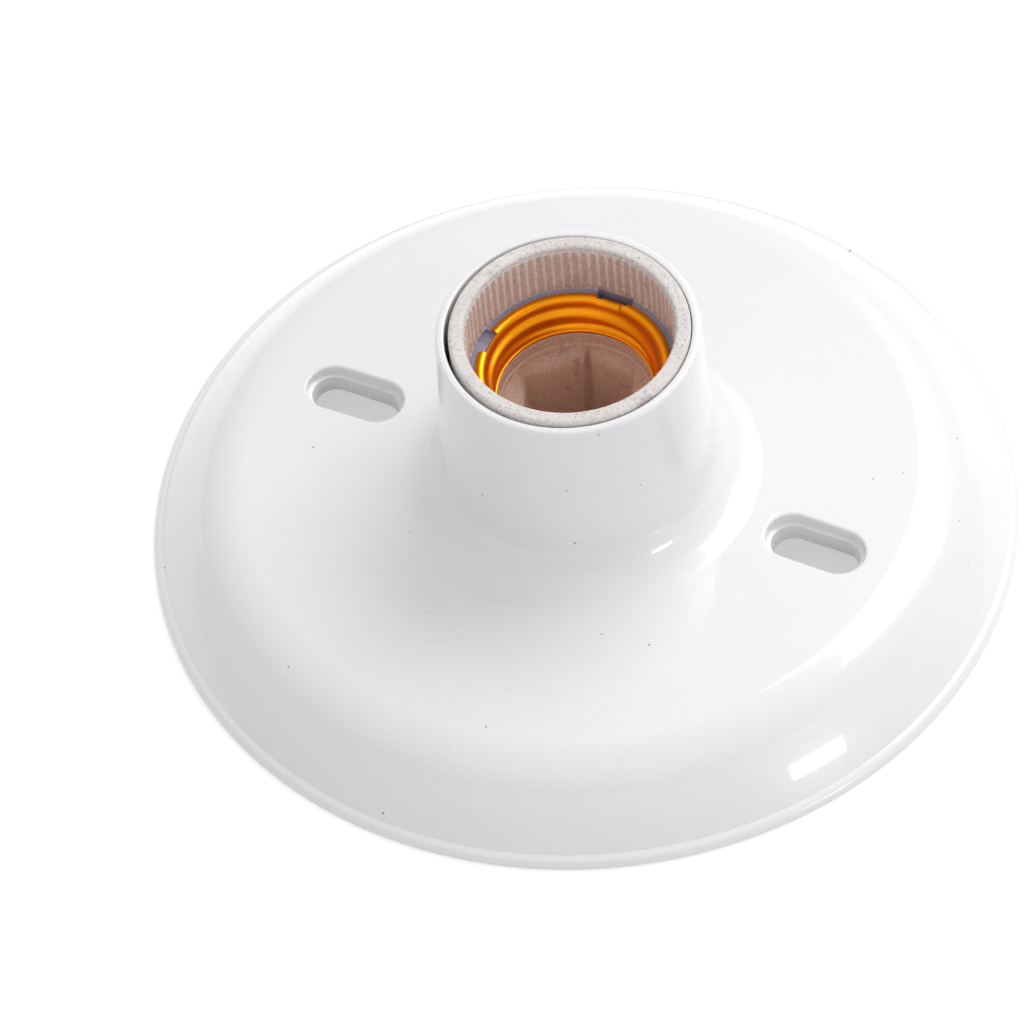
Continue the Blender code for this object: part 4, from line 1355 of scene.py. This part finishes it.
    def leg_path(self) -> list[Point3]:
        """Draws the leg's centre line, from the flange's bend to under the terminal.

        Returns:
            Its points (y, z, half width).
        """
        reach = self.leg_radius
        narrow = reach * math.sin(math.radians(self.leg_span[1] - self.leg_span[0]) / 2)
        wide, top, foot = self.foot_width / 2, self.top - self.sheet / 2, self.foot_top - self.sheet / 2
        bend = 0.9
        low = top - self.dip
        path = [(14.1, low - 0.06, narrow * 0.96), (14.3, low - 0.02, narrow), (14.45, low - 0.05, narrow)]
        path += [(14.65, low - 0.25, narrow), (14.82, low - 0.7, narrow), (14.98, low - 1.4, narrow)]
        path += [(15.15, low - 2.4, narrow), (15.28, low - 3.6, narrow), (reach, low - 5.0, narrow)]
        start = low - 5.0
        path += [(reach, start + (foot + bend - start) * share, narrow) for share in (0.25, 0.5, 0.75, 1.0)]
        path += [(reach - bend * (1 - math.cos(t)), foot + bend * (1 - math.sin(t)), narrow)
                 for t in (math.radians(a) for a in (22, 45, 67, 90))]
        path += [(self.screw_reach + wide + 0.3, foot, narrow), (self.screw_reach + wide - 0.2, foot, wide)]
        path += [(reach - self.foot_length, foot, wide)]
        return path

    def leg(self) -> bpy.types.Object:
        """Builds the leg and its foot, which the neutral terminal's screw holds.

        Returns:
            The leg.
        """
        bm = bmesh.new()
        rows = []
        for y, z, half in self.leg_path():
            rows.append([bm.verts.new((half * share / 4, y, z)) for share in range(-4, 5)])
        skin(bm, rows, closed=False)
        leg = object_from("shell_leg", bm)
        thicken(leg, self.sheet)
        outline = disc_outline((0.0, self.screw_reach), WIRE_HOLE, 32)
        hole = prism("foot_hole", outline, self.foot_top - self.sheet - PAST, self.foot_top + PAST)
        shape_with(leg, [hole])
        return leg

    def build(self, material: bpy.types.Material) -> None:
        """Builds and dresses the shell and its leg.

        Args:
            material: Their finish.
        """
        for piece in (self.sheet_mesh(), self.leg()):
            piece.data.transform(Matrix.Translation((*self.centre, 0.0)))
            Fitting("threaded_shell", sharp=50.0).hand_over(piece, material)


@dataclass
class CentreContact:
    """The bent bronze strip. It flexes between its screwed foot and its pad."""

    centre: Point2 = (0.226, 0.106)
    thickness: float = 0.4
    width: float = 6.0
    floor: float = 15.15
    tip: float = 21.85
    foot_end: float = 9.8
    screw_reach: float = 6.9
    fold: float = 4.4
    pad: float = 3.2
    lip_length: float = 1.8
    lip_drop: float = 1.3

    def path(self) -> list[Point2]:
        """Draws the strip's centre line, with each bend rounded.

        Returns:
            Its points (y, z).
        """
        foot, pad = self.floor + self.thickness / 2, self.tip - self.thickness / 2
        half, ease = self.pad / 2, 2 * self.thickness
        corners = [(-self.foot_end, foot), (-self.fold, foot), (-half - ease * 0.35, pad - ease * 0.3),
                   (half, pad), (half + self.lip_length, pad - self.lip_drop)]
        points = [corners[0]]
        for before, here, after in zip(corners, corners[1:], corners[2:]):
            b, h, a = Vector(before), Vector(here), Vector(after)
            start = h + (b - h).normalized() * ease
            end = h + (a - h).normalized() * ease
            for i in range(7):
                t = i / 6
                spot = start * (1 - t) ** 2 + h * 2 * t * (1 - t) + end * t * t
                points.append((spot.x, spot.y))
        points.append(corners[-1])
        return points

    def build(self, material: bpy.types.Material) -> bpy.types.Object:
        """Builds and dresses the strip.

        Args:
            material: Its finish.

        Returns:
            The piece.
        """
        bm = bmesh.new()
        path = self.path()
        rows = []
        for index, (y, z) in enumerate(path):
            end = min(index, len(path) - 1 - index)
            half = self.width / 2 - (0.5 if end == 0 else 0.0)
            rows.append([bm.verts.new((half * share / 3, y, z)) for share in range(-3, 4)])
        skin(bm, rows, closed=False)
        strip = object_from("contact_strip", bm)
        thicken(strip, self.thickness)
        outline = disc_outline((0.0, -self.screw_reach), CONTACT_HOLE, 32)
        shape_with(strip, [prism("hole", outline, self.floor - PAST, self.floor + self.thickness + PAST)])
        strip.data.transform(Matrix.Translation((*self.centre, 0.0)))
        fitting = Fitting("centre_contact", sharp=50.0)
        fitting.smooth(strip, material)
        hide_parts(fitting.node)
        x, y = self.centre
        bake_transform(strip)
        return strip


@dataclass
class SlottedScrew:
    """A slotted pan-head screw with a cut thread. Its origin is under the head and its tip points down."""

    name: str
    radius: float
    length: float
    head_radius: float
    head_height: float
    pitch: float
    slot_width: float = 0.9
    slot_share: float = 0.55
    columns: int = 40

    def head(self) -> bpy.types.Object:
        """Builds the head, with a domed top, eased edges and its driver slot.

        Returns:
            The head.
        """
        r, h = self.head_radius, self.head_height
        profile: list[Point2] = [(0.0, h), (r * 0.3, h * 0.985), (r * 0.6, h * 0.94), (r * 0.8, h * 0.84)]
        profile += [(r * 0.93, h * 0.66), (r * 0.99, h * 0.42), (r, h * 0.25), (r, 0.12), (r - 0.1, 0.0)]
        profile += [(self.radius * 0.8, 0.0), (self.radius * 0.8, -0.3), (0.0, -0.3)]
        head = revolve(self.name, profile, 56, turn=0.03)
        deep = h * (1 - self.slot_share)
        rings = []
        for share, z in ((0.82, deep), (1.0, deep + 0.1), (1.0, h * 0.9), (1.25, h + 0.4)):
            outline = rounded_outline((0.0, 0.0), self.slot_width * share, 4 * r, 0.05, 2)
            rings.append([(x, y, z) for x, y in outline])
        shape_with(head, [loft(self.name + "_slot", rings)])
        return head

    def shank(self) -> bpy.types.Object:
        """Builds the threaded shank, which fades out under the head and tapers at the tip.

        Returns:
            The shank.
        """
        depth = self.pitch * 0.5
        rows = max(24, round(self.length / self.pitch * 8))
        rings = []
        for i in range(rows + 1):
            z = -0.02 - (self.length - 0.02) * i / rows
            fade = min(1.0, (-z) / 0.5, max(0.0, (self.length + z) / 0.6))
            ring = []
            for j in range(self.columns):
                angle = math.tau * j / self.columns
                phase = (z / self.pitch - angle / math.tau) % 1.0
                groove = 1.0 - abs(2 * phase - 1.0)
                r = self.radius - depth * groove * min(1.0, -z / 0.5)
                r -= (1.0 - fade) * (0.45 if self.length + z < 0.6 else 0.0)
                ring.append((r * math.cos(angle), r * math.sin(angle), z))
            rings.append(ring)
        return loft(self.name + "_shank", rings)

    def build(self, place: Matrix, fitting: Fitting, material: bpy.types.Material) -> bpy.types.Object:
        """Builds the screw and puts it in its place.

        Args:
            place: Where its origin goes, in millimetres, and how it is turned.
            fitting: Its node and body.
            material: Its finish.

        Returns:
            The piece.
        """
        screw = self.head()
        shape_with(screw, [self.shank()], Cut.JOIN)
        screw.data.transform(place)
        return fitting.hand_over(screw, material)


@dataclass
class WireClamp:
    """One side's terminal plate, square washer and binding screw, seen from the back."""

    side: str
    centre: Point2
    ends: Point2
    reach: float
    washer_top: float
    holes: tuple[Point2, ...]
    terminal_low: float = 9.95
    terminal_high: float = 11.45
    washer: float = 7.0
    washer_thickness: float = 0.8

    def build(self, brass: bpy.types.Material, zinc: bpy.types.Material) -> None:
        """Builds and dresses the plate, the washer and the screw.

        Args:
            brass: Finish of the plate and the screw.
            zinc: Finish of the washer.
        """
        cx, cy = self.centre
        middle = (self.ends[0] + self.ends[1]) / 2
        outline = rounded_outline((cx, cy + middle), 8.2, self.ends[1] - self.ends[0], 0.6, 5)
        holes = [disc_outline((cx, cy + y), radius, 32) for y, radius in self.holes]
        plate = stamped(f"{self.side}_plate", outline, holes, self.terminal_low, self.terminal_high, 0.15)
        Fitting(f"{self.side}_terminal").hand_over(plate, brass)
        spot = (cx, cy + self.reach)
        outline = rounded_outline(spot, self.washer, self.washer, 1.0, 5)
        low = self.washer_top - self.washer_thickness
        hole = disc_outline(spot, WIRE_HOLE, 32)
        square = stamped(f"{self.side}_washer", outline, [hole], low, self.washer_top, 0.1)
        Fitting(f"{self.side}_wire_washer", body=f"{self.side}_clamp").hand_over(square, zinc)
        screw = SlottedScrew(
            f"{self.side}_binding_screw", radius=1.75, length=5.3, head_radius=3.0, head_height=2.2, pitch=0.6
        )
        place = Matrix.Translation((*spot, low - SEAT_PLAY)) @ Matrix.Rotation(math.pi, 4, "X")
        screw.build(place, Fitting(f"{self.side}_wire_screw", body=f"{self.side}_screw"), brass)


@dataclass
class Retainer:
    """The screw and washer that hold the ceramic's flange up against the tower's skirt."""

    side: str
    x: float
    washer_top: float = 6.95
    washer_radius: float = 5.2
    washer_thickness: float = 0.8

    def build(self, zinc: bpy.types.Material) -> None:
        """Builds and dresses the washer and the screw.

        Args:
            zinc: Their finish.
        """
        low = self.washer_top - self.washer_thickness
        outline = disc_outline((self.x, 0.0), self.washer_radius, 64)
        hole = disc_outline((self.x, 0.0), KEEPER_HOLE, 32)
        washer = stamped(f"keeper_washer_{self.side}", outline, [hole], low, self.washer_top, 0.12)
        Fitting(f"retaining_washer_{self.side}").hand_over(washer, zinc)
        screw = SlottedScrew(
            f"keeper_screw_{self.side}", radius=1.45, length=5.6, head_radius=2.9, head_height=2.1, pitch=1.0
        )
        place = Matrix.Translation((self.x, 0.0, low - SEAT_PLAY)) @ Matrix.Rotation(math.pi, 4, "X")
        place = place @ Matrix.Rotation(0.6 if self.x > 0 else -1.1, 4, "Z")
        screw.build(place, Fitting(f"retaining_screw_{self.side}"), zinc)


@dataclass(frozen=True)
class Lamp:
    """A soft rectangular lamp that looks at the holder."""

    name: str
    azimuth: float  # degrees from +X towards +Y
    height: float  # degrees above the floor
    reach: float  # metres from the holder
    size: Point2  # metres
    power: float  # watts
    lean: float = 0.0  # degrees in its own plane

    def build(self) -> None:
        """Sets up the lamp."""
        data = bpy.data.lights.new(self.name, "AREA")
        data.shape = "RECTANGLE"
        data.size, data.size_y = self.size
        data.energy = self.power
        lamp = bpy.data.objects.new(self.name, data)
        a, e = math.radians(self.azimuth), math.radians(self.height)
        aim = Vector((math.cos(a) * math.cos(e), math.sin(a) * math.cos(e), math.sin(e)))
        lamp.location = aim * self.reach + Vector((0.0, 0.0, 0.02))
        lamp.rotation_mode = "QUATERNION"
        turned = Matrix.Rotation(math.radians(self.lean), 3, "Z").to_quaternion()
        lamp.rotation_quaternion = (-aim).to_track_quat("-Z", "Y") @ turned
        bpy.context.scene.collection.objects.link(lamp)


@dataclass
class Studio:
    """Floor, background, lamps and the camera of the photograph."""

    lens: float = 281.25
    place: Point3 = (0.385398, -0.687008, 0.98651)
    right: Point3 = (0.90219, 0.42601, -0.06762)
    down: Point3 = (0.29587, -0.72525, -0.62168)
    ahead: Point3 = (-0.31388, 0.54086, -0.78035)
    floor_colour: Colour = (0.70, 0.70, 0.70)
    floor_glow: float = 0.49  # what makes the floor white to the camera
    fill_colour: Colour = (0.985, 0.975, 1.0)
    fill: float = 0.68
    gloss_share: float = 0.2  # how much of the white background a gloss sees
    lamps: tuple[Lamp, ...] = (
        Lamp("key", azimuth=72.0, height=47.0, reach=1.4, size=(1.1, 0.9), power=10.0),
        Lamp("fill", azimuth=-72.0, height=50.0, reach=1.0, size=(0.8, 0.8), power=0.42),
        Lamp("window", azimuth=-12.7, height=19.1, reach=0.7, size=(0.165, 0.07), power=0.38, lean=-12.0),
    )

    def camera(self) -> None:
        """Sets the camera to the photograph's viewpoint."""
        data = bpy.data.cameras.new("camera")
        data.lens = self.lens
        data.sensor_width = 36.0
        data.clip_end = 20.0
        camera = bpy.data.objects.new("camera", data)
        axes = Matrix((Vector(self.right), -Vector(self.down), -Vector(self.ahead))).transposed()
        camera.matrix_world = Matrix.Translation(self.place) @ axes.to_4x4()
        bpy.context.scene.collection.objects.link(camera)
        bpy.context.scene.camera = camera

    def seen_share(self, sheet: NodeSheet) -> bpy.types.NodeSocket:
        """Finds the rays that see the floor as white.

        Args:
            sheet: The floor's sheet.

        Returns:
            1 for rays from the camera, a gloss or a clear surface, else 0.
        """
        path = sheet.add("ShaderNodeLightPath")
        direct = sheet.math("ADD", path.outputs["Is Camera Ray"], path.outputs["Is Glossy Ray"])
        return sheet.math("ADD", direct, path.outputs["Is Transmission Ray"], clamp=True)

    def floor(self) -> None:
        """A wide pale floor that keeps the shadow and looks white."""
        bm = bmesh.new()
        bmesh.ops.create_grid(bm, x_segments=2, y_segments=2, size=4.0)
        floor = object_from("floor", bm)
        floor.location.z = -0.0002
        material = bpy.data.materials.new("pale_floor")
        material.use_nodes = True
        sheet = NodeSheet(material.node_tree)
        material.node_tree.nodes.clear()
        matt = sheet.add("ShaderNodeBsdfDiffuse", {"Color": self.floor_colour})
        seen = sheet.math("MULTIPLY", self.seen_share(sheet), self.floor_glow)
        glow = sheet.add("ShaderNodeEmission", {"Strength": seen})
        both = sheet.add("ShaderNodeAddShader", {0: matt.outputs[0], 1: glow.outputs[0]})
        sheet.add("ShaderNodeOutputMaterial", {"Surface": both.outputs[0]})
        floor.data.materials.append(material)

    def world(self) -> None:
        """A white background over a soft fill."""
        world = bpy.data.worlds.new("studio")
        world.use_nodes = True
        world.node_tree.nodes.clear()
        sheet = NodeSheet(world.node_tree)
        fill = sheet.add("ShaderNodeBackground", {"Color": self.fill_colour, "Strength": self.fill})
        white = sheet.add("ShaderNodeBackground", {"Color": (1.0, 1.0, 1.0, 1.0), "Strength": 1.0})
        path = sheet.add("ShaderNodeLightPath")
        camera, through = path.outputs["Is Camera Ray"], path.outputs["Is Transmission Ray"]
        gloss = sheet.math("MULTIPLY", path.outputs["Is Glossy Ray"], self.gloss_share)
        direct = sheet.math("ADD", sheet.math("ADD", camera, through, clamp=True), gloss, clamp=True)
        mixed = sheet.add("ShaderNodeMixShader", {0: direct, 1: fill.outputs[0], 2: white.outputs[0]})
        sheet.add("ShaderNodeOutputWorld", {"Surface": mixed.outputs[0]})
        bpy.context.scene.world = world

    def build(self) -> None:
        """Builds the whole studio."""
        bpy.context.scene.view_settings.view_transform = "Standard"
        self.floor()
        self.world()
        for lamp in self.lamps:
            lamp.build()
        self.camera()


def main() -> None:
    """Builds every sub-assembly in order and reports it."""
    logging.basicConfig(level=logging.INFO, format="%(message)s")
    moulding = GlossMoulding().build()
    body = PorcelainBody()
    ceramic = UnglazedPorcelain().build(body)
    gold = WorkedMetal(
        "gold_shell", Metal.GOLD, roughness=0.37, dull=(0.92, 0.30, 0.006), dullness=0.2, marking=0.06
    ).build()
    brass = WorkedMetal("stamped_brass", Metal.BRASS, roughness=0.32, dull=(0.45, 0.30, 0.12)).build()
    bronze = WorkedMetal("bronze_strip", Metal.BRONZE, roughness=0.3, dull=(0.40, 0.22, 0.10)).build()
    zinc = WorkedMetal("zinc_plate", Metal.ZINC, roughness=0.34, dull=(0.45, 0.45, 0.47)).build()
    LOG.info("finishes made")

    plate = CeilingPlate()
    plate.build(moulding)
    body.build(ceramic)
    ThreadedShell(centre=body.centre).build(gold)
    CentreContact(centre=body.centre).build(bronze)
    wire, other = (body.line_screw, WIRE_HOLE), (body.neutral_screw, WIRE_HOLE)
    contact = (body.contact_screw, CONTACT_HOLE)
    for side, ends, washer_top, holes in (
        ("line", (-16.4, -4.9), 9.65, (wire, contact)),
        ("neutral", (5.5, 14.4), 9.05, (other,)),
    ):
        WireClamp(side, body.centre, ends, holes[0][0], washer_top, holes).build(brass, zinc)
    cx, cy = body.centre
    contact_screw = SlottedScrew(
        "contact_fixing_screw", radius=1.25, length=6.2, head_radius=2.2, head_height=1.5, pitch=0.5
    )
    place = Matrix.Translation((cx, cy + body.contact_screw, 15.85))
    contact_screw.build(place, Fitting("centre_contact_screw"), brass)
    for side, sign in (("left", -1.0), ("right", 1.0)):
        Retainer(side, sign * plate.boss_centre).build(zinc)
    Studio().build()
    LOG.info("studio made")


if __name__ == "__main__":
    main()
